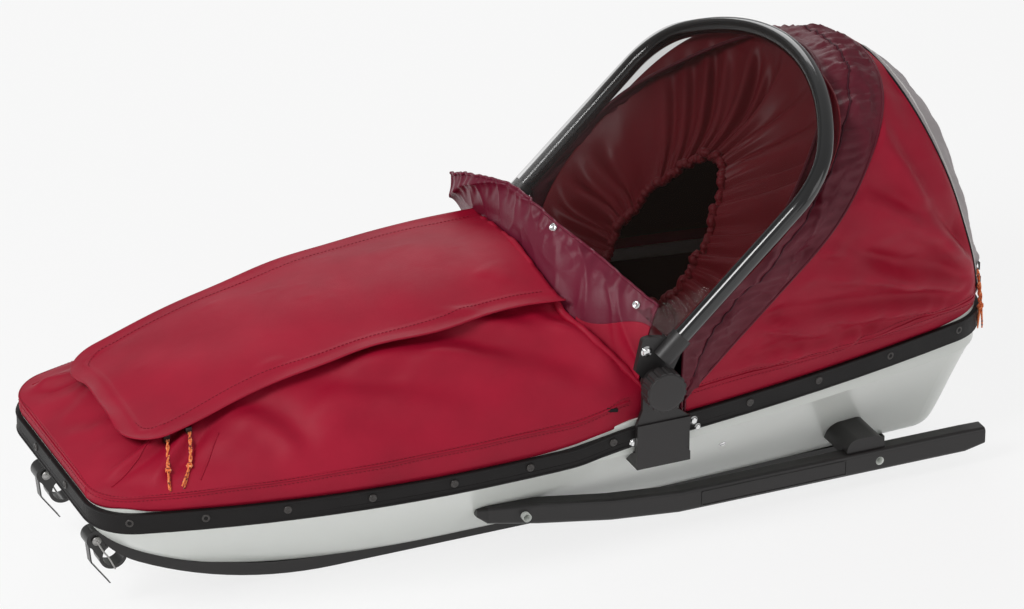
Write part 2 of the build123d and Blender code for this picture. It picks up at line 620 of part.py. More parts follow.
lean = radians(ARCH_LEAN)
facing = Vector(cos(lean), 0, sin(lean))
pivot = Vector(PIVOT_X, 0, PIVOT_Z)
hood_front = Plane(pivot + facing * (ARCH_OFFSET - TUBE_R - BAND_GAP), x_dir=(0, 1, 0), z_dir=facing)
band_rear = hood_front.offset(-BAND_WIDTH)
panel_rise = Vector(REAR_PANEL_TOP_X - REAR_PANEL_LOW_X, 0, REAR_PANEL_TOP_Z - REAR_PANEL_LOW_Z)
panel_front = Plane(
    (REAR_PANEL_LOW_X, 0, REAR_PANEL_LOW_Z), x_dir=(0, -1, 0), z_dir=(-panel_rise.Z, 0, panel_rise.X)
)
room_size = [OVERALL_LENGTH] * 3
foot_room = Box(*room_size, align=(Align.MIN, Align.CENTER, Align.MAX))
foot_room = Pos(PIVOT_X - HOOD_NOTCH, 0, PIVOT_Z + NOTCH_RISE) * foot_room
hood_space = hood(FABRIC)
socket_room = Cylinder(TUBE_R + SOCKET_WALL + SEAT_GAP, 2 * SOCKET_TOP + 2 * SEAT_GAP)
hood_wall = ((hood(0) - hood_space) & on_lip) - foot_room
for side in (-1, 1):
    hood_wall = hood_wall - in_arch(Pos(ARCH_OFFSET, side * ARCH_HALF, 0) * socket_room)
hood_wall = split(hood_wall, bisect_by=hood_front, keep=Keep.BOTTOM)
write(split(hood_wall, bisect_by=band_rear, keep=Keep.TOP), "hood_band")
behind_band = split(hood_wall, bisect_by=band_rear, keep=Keep.BOTTOM)
write(split(behind_band, bisect_by=panel_front, keep=Keep.BOTTOM), "hood_shell")
write(split(behind_band, bisect_by=panel_front, keep=Keep.TOP), "hood_rear_panel")


# Lining: a flat collar inside the band that narrows to a ring round the seat
def funnel(inset):
    """Solid funnel, drawn in by inset."""
    rings = []
    for depth, half, low, high in LINING_RINGS:
        tall = high - low - 2 * inset
        plane = Plane((depth, 0, (low + high) / 2), x_dir=(0, 1, 0), z_dir=(1, 0, 0))
        radius = LINING_CORNER * min(half - inset, tall / 2)
        rings.append(plane * RectangleRounded(2 * (half - inset), tall, radius))
    return loft(rings)


lining_front = LINING_RINGS[0][0]
slab_size = (LINING_THICK, OVERALL_LENGTH, OVERALL_LENGTH)
wall_slab = Box(*slab_size, align=(Align.MAX, Align.CENTER, Align.MIN))
wall_slab = in_arch(Pos(lining_front, 0, LINING_RINGS[0][2]) * wall_slab)
lining = (wall_slab + in_arch(funnel(0)) - in_arch(funnel(LINING_THICK))) & hood(FABRIC + SEAT_GAP)
lining = lining - foot_room
write(lining, "hood_lining")

# Seat pad on the floor and a sloping back pad behind it
floor_z = FLOOR_CLEARANCE + HULL_WALL + SEAT_GAP
seat_length = SEAT_FRONT_X - SEAT_HINGE_X
seat_box = Box(seat_length, SEAT_HALF * 2, SEAT_THICK)
seat_box = Pos((SEAT_FRONT_X + SEAT_HINGE_X) / 2, 0, floor_z + SEAT_THICK / 2) * seat_box
write(fillet(seat_box.edges().group_by(Axis.Z)[-1], SEAT_EDGE), "seat_pad")
back_line = [
    (SEAT_HINGE_X - SEAT_GAP, floor_z),
    (SEAT_HINGE_X - SEAT_GAP, floor_z + BACK_FRONT),
    (BACK_TOP_X + SEAT_THICK, BACK_TOP_Z),
    (BACK_TOP_X, BACK_TOP_Z - BACK_EDGE),
    (SEAT_HINGE_X - BACK_FOOT, floor_z),
]
back_face = make_face(Polyline(*back_line, close=True))
back_pad = extrude(Plane.XZ * back_face, amount=BACK_HALF, both=True)
write(back_pad, "back_pad")

# Zip sliders and their cords
cover_room = dome(SEAT_GAP)
hood_room = hood(-SEAT_GAP)
pull_sets = [("front", cover_room, BOW_X, -1, FRONT_PULLS), ("rear", hood_room, STERN_X, 1, REAR_PULLS)]
for name, room, end_x, way, sliders in pull_sets:
    bodies = []
    for tag, (inboard, slider_y, slider_z), route in sliders:
        place = (end_x + way * inboard, slider_y, slider_z)
        slider = Pos(*place) * Box(*SLIDER) - room
        bodies.append(slider)
        points = [Vector(*place) + Vector(*step) for step in route]
        bends = []
        for before, here, after in zip(points, points[1:], points[2:]):
            turn = (here - before).get_angle(after - here)
            short = min((here - before).length, (after - here).length)
            bends.append(BEND_SHARE * short / tan(radians(turn / 2)))
        path = FilletPolyline(*points, radius=bends)
        cord = sweep(Plane(path @ 0, z_dir=path % 0) * Circle(CORD_R), path=path)
        write(cord - slider - room, f"zip_cord_{name}_{tag}")
    write(Compound(children=bodies), f"zip_sliders_{name}")
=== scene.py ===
import math

import bpy
import numpy as np
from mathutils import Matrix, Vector
from mathutils.bvhtree import BVHTree


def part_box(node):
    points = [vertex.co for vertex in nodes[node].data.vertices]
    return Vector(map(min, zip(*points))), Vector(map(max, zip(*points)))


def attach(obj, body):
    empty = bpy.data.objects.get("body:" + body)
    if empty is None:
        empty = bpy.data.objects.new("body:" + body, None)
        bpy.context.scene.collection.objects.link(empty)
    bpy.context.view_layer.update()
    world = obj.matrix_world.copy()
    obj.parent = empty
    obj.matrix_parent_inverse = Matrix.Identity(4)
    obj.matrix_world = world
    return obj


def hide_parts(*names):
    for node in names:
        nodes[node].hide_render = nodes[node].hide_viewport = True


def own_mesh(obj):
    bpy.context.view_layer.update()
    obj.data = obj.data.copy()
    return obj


# Child carrier pulk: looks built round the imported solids. Shapes are worked out in millimetres.
MM = 0.001
HULL = "hull"
SCREEN = "screen"

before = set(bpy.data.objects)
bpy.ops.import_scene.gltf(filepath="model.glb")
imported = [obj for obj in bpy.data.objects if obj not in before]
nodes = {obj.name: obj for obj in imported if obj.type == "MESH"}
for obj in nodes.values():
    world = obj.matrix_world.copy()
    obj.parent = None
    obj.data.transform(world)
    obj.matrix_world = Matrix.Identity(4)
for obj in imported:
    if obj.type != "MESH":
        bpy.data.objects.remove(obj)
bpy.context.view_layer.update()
scene = bpy.context.scene
scene.view_settings.view_transform = "Standard"

# Camera at the photograph's angle
AIM = Vector((-0.0257, -0.0530, 0.2694))
AZIMUTH = math.radians(156.17)
ELEVATION = math.radians(26.6)
DISTANCE = 8.0
LENS = 191.6
level = math.cos(ELEVATION)
back = Vector((math.sin(AZIMUTH) * level, -math.cos(AZIMUTH) * level, math.sin(ELEVATION)))
camera_data = bpy.data.cameras.new("camera")
camera_data.lens = LENS
camera_data.sensor_width = 36.0
camera_data.sensor_fit = "HORIZONTAL"
camera_data.clip_end = 100.0
camera = bpy.data.objects.new("camera", camera_data)
scene.collection.objects.link(camera)
camera.location = AIM + back * DISTANCE
camera.rotation_mode = "QUATERNION"
camera.rotation_quaternion = (-back).to_track_quat("-Z", "Y")
scene.camera = camera


# Materials


class Look:
    """A node material with a Principled shader and short ways to add nodes."""

    def __init__(self, name, rough=0.5, metal=0.0, sheen=0.0, coat=0.0, alpha=1.0, spec=0.5):
        self.mat = bpy.data.materials.new(name)
        self.mat.use_nodes = True
        self.tree = self.mat.node_tree
        self.shader = self.tree.nodes["Principled BSDF"]
        self.put(self.shader, Roughness=rough, Metallic=metal, Alpha=alpha)
        self.put(self.shader, Sheen_Weight=sheen, Coat_Weight=coat, Specular_IOR_Level=spec)
        self.where = self.add("TexCoord").outputs["Object"]
        self.height = None

    def put(self, node, **sockets):
        """Set or link a node's inputs; an underscore in a key stands for a space."""
        for key, value in sockets.items():
            socket = node.inputs[key.replace("_", " ")]
            if isinstance(value, bpy.types.NodeSocket):
                self.tree.links.new(value, socket)
            else:
                socket.default_value = value
        return node

    def add(self, kind, **sockets):
        return self.put(self.tree.nodes.new("ShaderNode" + kind), **sockets)

    def noise(self, scale, detail=3.0, rough=0.55, warp=0.0):
        node = self.add("TexNoise", Vector=self.where, Scale=scale, Detail=detail)
        return self.put(node, Roughness=rough, Distortion=warp).outputs["Fac"]

    def wave(self, scale, axis, warp=0.0):
        node = self.add("TexWave", Vector=self.where, Scale=scale, Distortion=warp)
        node.bands_direction = axis
        return node.outputs["Fac"]

    def ramp(self, value, stops):
        node = self.add("ValToRGB", Fac=value)
        elements = node.color_ramp.elements
        while len(elements) < len(stops):
            elements.new(0.5)
        for element, (place, colour) in zip(elements, stops):
            element.position = place
            element.color = (*colour, 1.0)
        self.put(self.shader, Base_Color=node.outputs["Color"])

    def mottle(self, value, colour, low, high):
        """Colour that drifts between two shares of itself."""
        self.ramp(value, [(0.3, tint(colour, low)), (0.7, tint(colour, high))])

    def gloss(self, value, low, high):
        """Roughness that drifts between two limits."""
        node = self.add("MapRange", Value=value, To_Min=low, To_Max=high)
        self.put(self.shader, Roughness=node.outputs["Result"])

    def bump(self, value, strength, distance):
        node = self.add("Bump", Height=value, Strength=strength, Distance=distance)
        if self.height is not None:
            self.put(node, Normal=self.height)
        self.height = node.outputs["Normal"]
        self.put(self.shader, Normal=self.height)


def srgb(*values):
    """Linear colour from a 0 to 255 screen colour."""
    linear = []
    for value in values:
        c = value / 255.0
        linear.append(c / 12.92 if c <= 0.04045 else ((c + 0.055) / 1.055) ** 2.4)
    return tuple(linear)


def tint(colour, share):
    return tuple(min(1.0, c * share) for c in colour)


def cloth(name, colour, rough, sheen, crumple, weave=700.0, grain=1.0):
    """Woven fabric: two crossing thread waves, a soft mottle and fine crumples."""
    look = Look(name, rough=rough, sheen=sheen, spec=0.28)
    look.put(look.shader, Sheen_Roughness=0.45, Sheen_Tint=(*tint(colour, 2.2), 1.0))
    look.mottle(look.noise(9.0, 4.0), colour, 0.88, 1.1)
    look.gloss(look.noise(22.0), rough - 0.08, rough + 0.08)
    look.bump(look.noise(26.0, 5.0, 0.6, warp=0.6), crumple, 0.004)
    for axis in "XZ":
        look.bump(look.wave(weave, axis), 0.12 * grain, 0.0004)
    return look.mat


def moulded(name, colour, rough, grain, strength, coat=0.0, mottle=0.06):
    """Moulded plastic or coated metal: faint mottle, grain and uneven gloss."""
    look = Look(name, rough=rough, coat=coat)
    look.mottle(look.noise(5.0, 5.0), colour, 1 - mottle, 1 + mottle)
    look.gloss(look.noise(60.0, 4.0), rough - 0.05, rough + 0.07)
    look.bump(look.noise(grain, 2.0), strength, 0.0005)
    return look.mat


def metal(name, colour, rough):
    look = Look(name, rough=rough, metal=1.0)
    look.mottle(look.noise(40.0), colour, 0.9, 1.0)
    look.gloss(look.noise(300.0, 3.0), rough, rough + 0.12)
    return look.mat


RED = srgb(160, 10, 44)
BURGUNDY = srgb(98, 26, 42)
red_cloth = cloth("red_cloth", RED, 0.55, 0.04, 0.12)
dark_cloth = cloth("dark_cloth", BURGUNDY, 0.42, 0.1, 0.22)
collar_cloth = cloth("collar_cloth", srgb(110, 30, 52), 0.33, 0.12, 0.26)
grey_cloth = cloth("grey_cloth", srgb(172, 165, 166), 0.65, 0.2, 0.12)
lining_cloth = cloth("lining_cloth", srgb(124, 24, 36), 0.42, 0.1, 0.25, grain=0.1)
black_cloth = cloth("black_cloth", srgb(20, 19, 21), 0.75, 0.1, 0.2, 500.0, 0.2)
web_cloth = cloth("web_cloth", srgb(20, 17, 17), 0.55, 0.03, 0.05, 420.0, 2.0)
stitch = cloth("stitch", srgb(120, 18, 36), 0.7, 0.2, 0.1)
zip_cloth = cloth("zip_cloth", srgb(70, 20, 34), 0.5, 0.05, 0.05)
white_cloth = cloth("white_cloth", srgb(214, 210, 208), 0.6, 0.1, 0.05)
hull_paint = moulded("hull_plastic", srgb(228, 231, 226), 0.3, 40.0, 0.0, 0.1, 0.01)
black_plastic = moulded("black_plastic", srgb(34, 31, 31), 0.4, 900.0, 0.06)
runner_plastic = moulded("runner_plastic", srgb(30, 27, 27), 0.36, 500.0, 0.08)
knob_plastic = moulded("knob_plastic", srgb(44, 41, 41), 0.5, 1200.0, 0.15)
rivet_paint = moulded("rivet_paint", srgb(58, 54, 52), 0.3, 900.0, 0.05)
foot_plastic = moulded("foot_plastic", srgb(42, 40, 40), 0.42, 900.0, 0.08)
coated = moulded("coated_steel", srgb(26, 24, 24), 0.32, 700.0, 0.05, 0.2)
gloss_tube = moulded("gloss_tube", srgb(15, 15, 16), 0.14, 300.0, 0.01, 0.6)
chrome = metal("bright_steel", (0.80, 0.80, 0.80), 0.12)
dull_steel = metal("dull_steel", (0.42, 0.41, 0.40), 0.35)

glass = Look("smoked_sheet", rough=0.04, alpha=0.22, spec=0.08)
glass.put(glass.shader, Base_Color=(*srgb(30, 22, 18), 1.0))
glass.gloss(glass.noise(15.0), 0.03, 0.07)
smoked = glass.mat

# Flecks of the cord, columns: place in the noise, screen colour
FLECKS = [(0.36, (70, 30, 20)), (0.42, (240, 110, 50)), (0.6, (250, 140, 70)), (0.72, (255, 200, 150))]
fleck = Look("flecked_cord", rough=0.7, sheen=0.3)
fleck.ramp(fleck.noise(260.0, 2.0), [(place, srgb(*tone)) for place, tone in FLECKS])
fleck.bump(fleck.wave(500.0, "Z", warp=4.0), 0.3, 0.0004)
cord_cloth = fleck.mat

# Numbers that repeat the solids' sizes, in millimetres
BOW_X = 706.5
STERN_X = -706.5
WIDEST_X = 170.0
RIM_HALF = 275.0
RIM_BOW_HALF = 186.0
RIM_STERN_HALF = 156.0
BOW_CORNER_R = 72.0
STERN_CORNER_R = 84.0
RAIL_LOW = 170.0
RAIL_TALL = 30.0
RAIL_OUT = 6.0
RAIL_KICK = 12.0
KICK_START = 30.0
KICK_END = -70.0
RAIL_SLOPE = 0.0149
PIVOT = np.array([-106.0, 0.0, 279.0])
LEAN = math.radians(46.8)
ARCH_UP = np.array([-math.sin(LEAN), 0.0, math.cos(LEAN)])
ARCH_AHEAD = np.array([math.cos(LEAN), 0.0, math.sin(LEAN)])


def table(x, rows, column):
    """Smooth value at x from a table whose first column rises."""
    xs = np.array([row[0] for row in rows], float)
    ys = np.array([row[column] for row in rows], float)
    slopes = np.gradient(ys, xs)
    x = np.clip(np.asarray(x, float), xs[0], xs[-1])
    i = np.clip(np.searchsorted(xs, x) - 1, 0, len(xs) - 2)
    h = xs[i + 1] - xs[i]
    t = (x - xs[i]) / h
    a = ys[i] * (1 + 2 * t) * (1 - t) ** 2 + ys[i + 1] * t * t * (3 - 2 * t)
    return a + h * (slopes[i] * t * (1 - t) ** 2 + slopes[i + 1] * t * t * (t - 1))


def step(x, low, high):
    t = np.clip((x - low) / (high - low), 0.0, 1.0)
    return t * t * (3 - 2 * t)


def corner(end, end_half, radius):
    """Rounding at one end of the rim: where it leaves the side, its centre's x and y."""
    toward = math.copysign(1.0, end)
    reach = end - WIDEST_X
    tilt = 0.0
    for _ in range(20):
        leave = end - toward * radius * (1 - math.sin(tilt))
        tilt = math.atan(2 * (RIM_HALF - end_half) * abs(leave - WIDEST_X) / reach**2)
    side = RIM_HALF - (RIM_HALF - end_half) * ((leave - WIDEST_X) / reach) ** 2
    return leave, end - toward * radius, side - radius * math.cos(tilt)


BOW_LEAVE, BOW_CENTRE_X, BOW_CENTRE_Y = corner(BOW_X, RIM_BOW_HALF, BOW_CORNER_R)
STERN_LEAVE, STERN_CENTRE_X, STERN_CENTRE_Y = corner(STERN_X, RIM_STERN_HALF, STERN_CORNER_R)


def rim_half(x):
    """Half width of the rim at x, with its rounded corners."""
    x = np.asarray(x, float)
    front = (x - WIDEST_X) / (BOW_X - WIDEST_X)
    rear = (x - WIDEST_X) / (STERN_X - WIDEST_X)
    half = np.where(
        x > WIDEST_X,
        RIM_HALF - (RIM_HALF - RIM_BOW_HALF) * front**2,
        RIM_HALF - (RIM_HALF - RIM_STERN_HALF) * rear**2,
    )
    bow = BOW_CENTRE_Y + np.sqrt(np.maximum(BOW_CORNER_R**2 - (x - BOW_CENTRE_X) ** 2, 0.0))
    stern = STERN_CENTRE_Y + np.sqrt(np.maximum(STERN_CORNER_R**2 - (x - STERN_CENTRE_X) ** 2, 0.0))
    half = np.where(x > BOW_LEAVE, bow, half)
    return np.where(x < STERN_LEAVE, stern, half)


def rail_top(x):
    x = np.asarray(x, float)
    kick = RAIL_KICK * step(-x, -KICK_START, -KICK_END)
    return RAIL_LOW + RAIL_TALL + kick + RAIL_SLOPE * np.maximum(0.0, KICK_END - x)


def waves(p, seed, size, lean=0.0, spread=math.pi, count=14):
    """Smooth seeded field over plane points p: a sum of sine waves about one direction."""
    rng = np.random.default_rng(seed)
    total = 0.0
    for _ in range(count):
        angle = lean + rng.uniform(-spread, spread)
        length = size * rng.uniform(0.6, 1.7)
        run = (p[..., 0] * math.cos(angle) + p[..., 1] * math.sin(angle)) * 2 * math.pi / length
        total = total + np.sin(run + rng.uniform(0, 2 * math.pi)) * length / size
    return total / math.sqrt(count)


def ridges(value, sharp=1.0):
    """Turn a smooth field into soft ridges between broad hollows."""
    return np.exp(-np.abs(value) * sharp) - 0.45


def fold(p, a, b, width, height, bend):
    """A soft ridge with a hollow beside it, from a to b in plane points."""
    run = np.subtract(b, a)
    long = np.linalg.norm(run)
    run = run / long
    t = (p - a) @ run / long
    off = (p - a) @ np.array([-run[1], run[0]]) - bend * np.sin(np.clip(t, 0, 1) * math.pi)
    fade = step(t, -0.12, 0.25) * step(1 - t, -0.12, 0.3)
    hollow = 0.55 * np.exp(-(((off - 1.7 * width) / width) ** 2))
    return height * fade * (np.exp(-((off / width) ** 2)) - hollow)


def folds(p, rows, gain):
    """Sum of the folds in a table of from, to, width, height and bend."""
    return sum(fold(p, a, b, width, gain * height, bend) for a, b, width, height, bend in rows)


def link(obj):
    scene.collection.objects.link(obj)
    return obj


def shape(name, verts, faces, mat):
    """Smooth-shaded object from vertices in metres."""
    mesh = bpy.data.meshes.new(name)
    mesh.from_pydata(verts, [], faces)
    mesh.polygons.foreach_set("use_smooth", np.ones(len(mesh.polygons), bool))
    mesh.materials.append(mat)
    return link(bpy.data.objects.new(name, mesh))


def subdivide(obj):
    smooth = obj.modifiers.new("smooth", "SUBSURF")
    smooth.levels = 1
    smooth.render_levels = 1


def grid(name, points, mat, thick, wrap=False, offset=0.0):
    """Object from an n by m by 3 array in millimetres, as a sheet of that thickness."""
    n, m = points.shape[:2]
    index = np.arange(n * m).reshape(n, m)
    if wrap:
        index = np.concatenate([index, index[:, :1]], axis=1)
    quads = np.stack([index[:-1, :-1], index[1:, :-1], index[1:, 1:], index[:-1, 1:]], axis=-1)
    obj = shape(name, (points.reshape(-1, 3) * MM).tolist(), quads.reshape(-1, 4).tolist(), mat)
    solid = obj.modifiers.new("thickness", "SOLIDIFY")
    solid.thickness = thick * MM
    solid.offset = offset
    return obj


def unit(v):
    v = np.asarray(v, float)
    return v / np.maximum(np.linalg.norm(v, axis=-1, keepdims=True), 1e-9)


def outward(points, way):
    """Unit normals of a grid of points, on the side that way points to."""
    out = unit(np.cross(np.gradient(points, axis=0), np.gradient(points, axis=1)))
    return out * np.sign((out * way).sum(-1, keepdims=True) + 1e-9)


def joined(name, parts, mat):
    """One object from (vertices, faces) lists in millimetres."""
    verts, faces = [], []
    for v, f in parts:
        base = len(verts)
        verts.extend((np.asarray(v, float) * MM).tolist())
        faces.extend([[base + i for i in face] for face in f])
    return shape(name, verts, faces, mat)


def basis(axis):
    axis = unit(axis)
    helper = np.array([0.0, 0.0, 1.0]) if abs(axis[2]) < 0.9 else np.array([1.0, 0.0, 0.0])
    u = unit(np.cross(helper, axis))
    return u, np.cross(axis, u), axis


def skin(rows, sides):
    """Faces over rows of points in rings, then the caps of its two ends."""
    faces = []
    for r in range(rows - 1):
        for k in range(sides):
            j = (k + 1) % sides
            faces.append([r * sides + k, r * sides + j, (r + 1) * sides + j, (r + 1) * sides + k])
    return [*faces, list(range(sides))[::-1], list(range((rows - 1) * sides, rows * sides))]


def circle(u, v, sides):
    a = 2 * math.pi * np.arange(sides)[:, None] / sides
    return u * np.cos(a) + v * np.sin(a)


def turned(place, axis, profile, sides):
    """Turned part: profile rows of (radius, height) about an axis from place."""
    u, v, w = basis(axis)
    ring = circle(u, v, sides)
    return np.concatenate([place + ring * r + w * h for r, h in profile]), skin(len(profile), sides)


def tube(path, radius, sides):
    """Swept round tube along points, closed at its ends; radius may be a list."""
    path = np.asarray(path, float)
    radius = np.broadcast_to(np.asarray(radius, float), (len(path),))
    tangent = unit(np.gradient(path, axis=0))
    u = basis(tangent[0])[0]
    verts = []
    for place, way, r in zip(path, tangent, radius):
        u = unit(u - way * (u @ way))
        verts.append(place + circle(u, np.cross(way, u), sides) * r)
    return np.concatenate(verts), skin(len(path), sides)


def runs(path):
    """Distance along a line at each of its points."""
    return np.concatenate([[0.0], np.cumsum(np.linalg.norm(np.diff(path, axis=0), axis=1))])


def at_runs(path, run, want):
    """Points of a line at wanted distances along it."""
    return np.stack([np.interp(want, run, path[:, k]) for k in range(3)], axis=1)


def even(path, count):
    """Points spaced evenly along a line."""
    path = np.asarray(path, float)
    run = runs(path)
    return at_runs(path, run, np.linspace(0.0, run[-1], count))


def stitches(path, normal, pitch=6.0, length=3.6, radius=0.45):
    """Short thread stitches along a line, lying on the cloth."""
    count = max(2, int(runs(path)[-1] / pitch))
    places = even(path, count)
    lift = np.asarray(normal, float)
    parts = []
    for i in range(count - 1):
        along = unit(places[i + 1] - places[i]) * length / 2
        up = lift if lift.ndim == 1 else lift[int(i * len(lift) / count)]
        middle = (places[i] + places[i + 1]) / 2
        ends = [middle - along - up * 0.3, middle + up * 0.25, middle + along - up * 0.3]
        parts.append(tube(ends, radius, 5))
    return parts


def coil(path, radius, pitch):
    """Zip teeth: a fine zigzag of thread along a line."""
    path = even(path, 900)
    run = np.linspace(0.0, runs(path)[-1], len(path))
    side = unit(np.cross(np.gradient(path, axis=0), np.array([0.3, 0.2, 1.0])))
    wobble = np.sign(np.sin(run * 2 * math.pi / pitch))[:, None] * side * radius * 0.6
    return tube(path + wobble, 0.9, 5)


def sample(points, u, v):
    """Values of a grid at shares u and v of its rows and columns."""
    n, m = points.shape[:2]
    a = np.clip(np.asarray(u, float), 0, 1) * (n - 1)
    b = np.clip(np.asarray(v, float), 0, 1) * (m - 1)
    i = np.minimum(a.astype(int), n - 2)
    j = np.minimum(b.astype(int), m - 2)
    p = (a - i)[..., None]
    q = (b - j)[..., None]
    low = points[i, j] * (1 - p) + points[i + 1, j] * p
    high = points[i, j + 1] * (1 - p) + points[i + 1, j + 1] * p
    return low * (1 - q) + high * q


def in_arch(ahead, y, up):
    """Part-frame points from places in the arch's plane."""
    flat = np.stack([PIVOT[0] + 0 * ahead, y, PIVOT[2] + 0 * ahead], axis=-1)
    return flat + ahead[..., None] * ARCH_AHEAD + up[..., None] * ARCH_UP


def both_sides(parts):
    """The parts and their mirror images across the middle plane."""
    flipped = []
    for verts, faces in parts:
        flipped.append((np.asarray(verts) * np.array([1.0, -1.0, 1.0]), [face[::-1] for face in faces]))
    return [*parts, *flipped]


def dress(piece, node=None, body=HULL):
    """Let a piece ride on a body, and hide the node that it stands for."""
    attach(piece, body)
    if node:
        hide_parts(node)
    return piece


def fit(name, parts, mat, body=HULL):
    """Joined small parts that ride on a body."""
    return dress(joined(name, parts, mat), body=body)


def evaluated(obj):
    """Mesh of an object with its modifiers applied."""
    return bpy.data.meshes.new_from_object(obj.evaluated_get(bpy.context.evaluated_depsgraph_get()))


def vertices(mesh):
    spots = np.zeros(len(mesh.vertices) * 3)
    mesh.vertices.foreach_get("co", spots)
    return spots.reshape(-1, 3)


def rim_ring(grow, over, count):
    """Even points round the rim, grown outward, at a height over the rail's top."""
    bow = BOW_X - BOW_CORNER_R * (1 - np.cos(np.linspace(0, math.pi / 2, 30)))
    stern = STERN_X + STERN_CORNER_R * (1 - np.sin(np.linspace(0, math.pi / 2, 30)))
    xs = np.concatenate([bow, np.linspace(bow[-1], stern[0], 160)[1:-1], stern])
    path = np.stack([xs, rim_half(xs)], axis=1)
    path = np.concatenate([[[BOW_X, 0.0]], path, [[STERN_X, 0.0]]])
    path = even(np.concatenate([path, np.zeros((len(path), 1))], axis=1), count // 2)[:, :2]
    along = unit(np.gradient(path, axis=0))
    path = path + np.stack([along[:, 1], -along[:, 0]], axis=1) * grow
    path = np.concatenate([path, path[::-1] * np.array([1.0, -1.0])])
    return np.concatenate([path, (rail_top(path[:, 0]) + over)[:, None]], axis=1)


def lip_show(x):
    """How far the hems stand off the rail, so that the hull's lip shows."""
    x = np.asarray(x, float)
    bow = 6.5 * np.exp(-(((x - 672.0) / 26.0) ** 2))
    bend = 5.5 * np.exp(-(((x + 5.0) / 60.0) ** 2))
    return bow + bend + 8.0 * step(-x, 600.0, 690.0)


def paint(mat, *names):
    """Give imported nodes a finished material."""
    for name in names:
        mesh = nodes[name].data
        mesh.materials.clear()
        mesh.materials.append(mat)


# Cords first: each zip pull is a doubled cord, knotted, with two loose tails
PULLS = [
    (
        "front_left",
        (588.0, 140.5, 273.0),
        [(-1.0, 2.5, -1.0), (7.5, 25.7, -12.2), (16.2, 47.8, -24.7), (23.6, 73.7, -42.0)],
    ),
    (
        "front_right",
        (557.0, 145.5, 281.0),
        [(-1.0, 2.5, -1.0), (7.6, 29.9, -14.5), (17.8, 51.8, -29.9), (36.4, 72.1, -46.5)],
    ),
    (
        "rear_upper",
        (-690.0, 145.0, 290.0),
        [(0.0, 3.5, -4.0), (-3.0, 10.0, -38.0), (-4.0, 12.0, -68.0), (-3.0, 12.5, -98.0)],
    ),
    ("rear_lower", (-695.0, 140.0, 264.0), [(0.0, 3.5, -4.0), (-2.0, 9.0, -34.0), (-1.0, 11.0, -64.0)]),
]
KNOT_AT = 0.6
TWISTS = 3.0
STRAND_R = 1.4


def spline_points(name, route):
    """Points along the smooth line whose control points are the route, in millimetres."""
    curve = bpy.data.curves.new(name, "CURVE")
    curve.dimensions = "3D"
    spline = curve.splines.new("NURBS")
    spline.points.add(len(route) - 1)
    for point, place in zip(spline.points, route):
        point.co = (*[c * MM for c in place], 1.0)
    spline.order_u = 3
    spline.use_endpoint_u = True
    spline.resolution_u = 24
    holder = bpy.data.objects.new(name, curve)
    mesh = bpy.data.meshes.new_from_object(holder)
    points = np.array([v.co[:] for v in mesh.vertices]) / MM
    bpy.data.objects.remove(holder)
    bpy.data.meshes.remove(mesh)
    return points


for name, place, route in PULLS:
    line = even(spline_points("route_" + name, np.add(place, route)), 60)
    u, v, _ = basis(line[-1] - line[0])
    share = np.linspace(0.0, 1.0, len(line))
    wide = STRAND_R * 1.05 * (1.0 + 1.2 * step(share, KNOT_AT + 0.05, 1.0))
    thin = STRAND_R * (1 - 0.25 * step(share, 0.93, 1.0))
    twist = share * 2 * math.pi * TWISTS * np.minimum(1.0, KNOT_AT / np.maximum(share, 1e-6))
    strands = []
    for start in (0.0, math.pi):
        turn = (twist + start)[:, None]
        strands.append(tube(line + (u * np.cos(turn) + v * np.sin(turn)) * wide[:, None], thin, 8))
    pull = dress(joined("pull_" + name, strands, cord_cloth), "zip_cord_" + name)
    at = int(KNOT_AT * len(line))
    u, v, w = basis(line[at + 2] - line[at])
    t = np.linspace(0, 2 * math.pi, 40)[:, None]
    loop = (u * np.cos(2 * t) + v * np.sin(2 * t)) * (2.9 + 0.7 * np.cos(3 * t)) + w * 2.4 * np.sin(3 * t)
    knot = fit("knot_" + name, [tube(line[at] + loop, STRAND_R * 0.95, 8)], cord_cloth)

# Hull, rail, runners and fittings keep their solids
paint(hull_paint, "hull_shell")
paint(web_cloth, "gunwale_rail")
paint(runner_plastic, "side_runner_left", "side_runner_right", "bottom_runner_left", "bottom_runner_right")
paint(coated, "tow_bracket_left", "tow_bracket_right", "tow_clip_left", "tow_clip_right")
paint(black_plastic, "screen_bracket_left", "screen_bracket_right")
paint(knob_plastic, "screen_knob_left", "screen_knob_right")
paint(foot_plastic, "arch_foot_left", "arch_foot_right")
paint(gloss_tube, "arch_tube")
paint(smoked, "windscreen")
paint(coated, "zip_sliders_front", "zip_sliders_rear")

# Front cover: a crowned sheet with a standing hem all round
COVER_CROWN = [
    (-110.0, 401.0),
    (40.0, 401.0),
    (240.0, 387.0),
    (420.0, 351.0),
    (540.0, 313.0),
    (640.0, 267.0),
    (706.5, 233.0),
]
# Rear edge of the cover, columns: height, x
COVER_REAR = [(215.0, -112.0), (242.0, -104.0), (268.0, -88.0), (300.0, -62.0)]
COVER_REAR += [(340.0, -28.0), (392.0, -4.0), (410.0, 3.0)]
HEM_TALL = [(-110.0, 40.0), (200.0, 40.0), (560.0, 29.0), (706.5, 24.0)]
TUCK_IN = 6.0
COVER_ROWS = 185
COVER_COLUMNS = 175
HEM_ROWS = 5


def cover_height(x, y):
    """Height of the cover's smooth crown over plan points."""
    half = rim_half(x) + 1.0
    edge = rail_top(x) + table(x, HEM_TALL, 1)
    crown = np.maximum(table(x, COVER_CROWN, 1), edge + 2.0)
    rise = crown - edge
    radius = (half**2 + rise**2) / (2 * rise)
    v = np.clip(np.abs(y), 0, half - 0.01)
    return crown - radius + np.sqrt(np.maximum(radius**2 - v**2, 0.0))


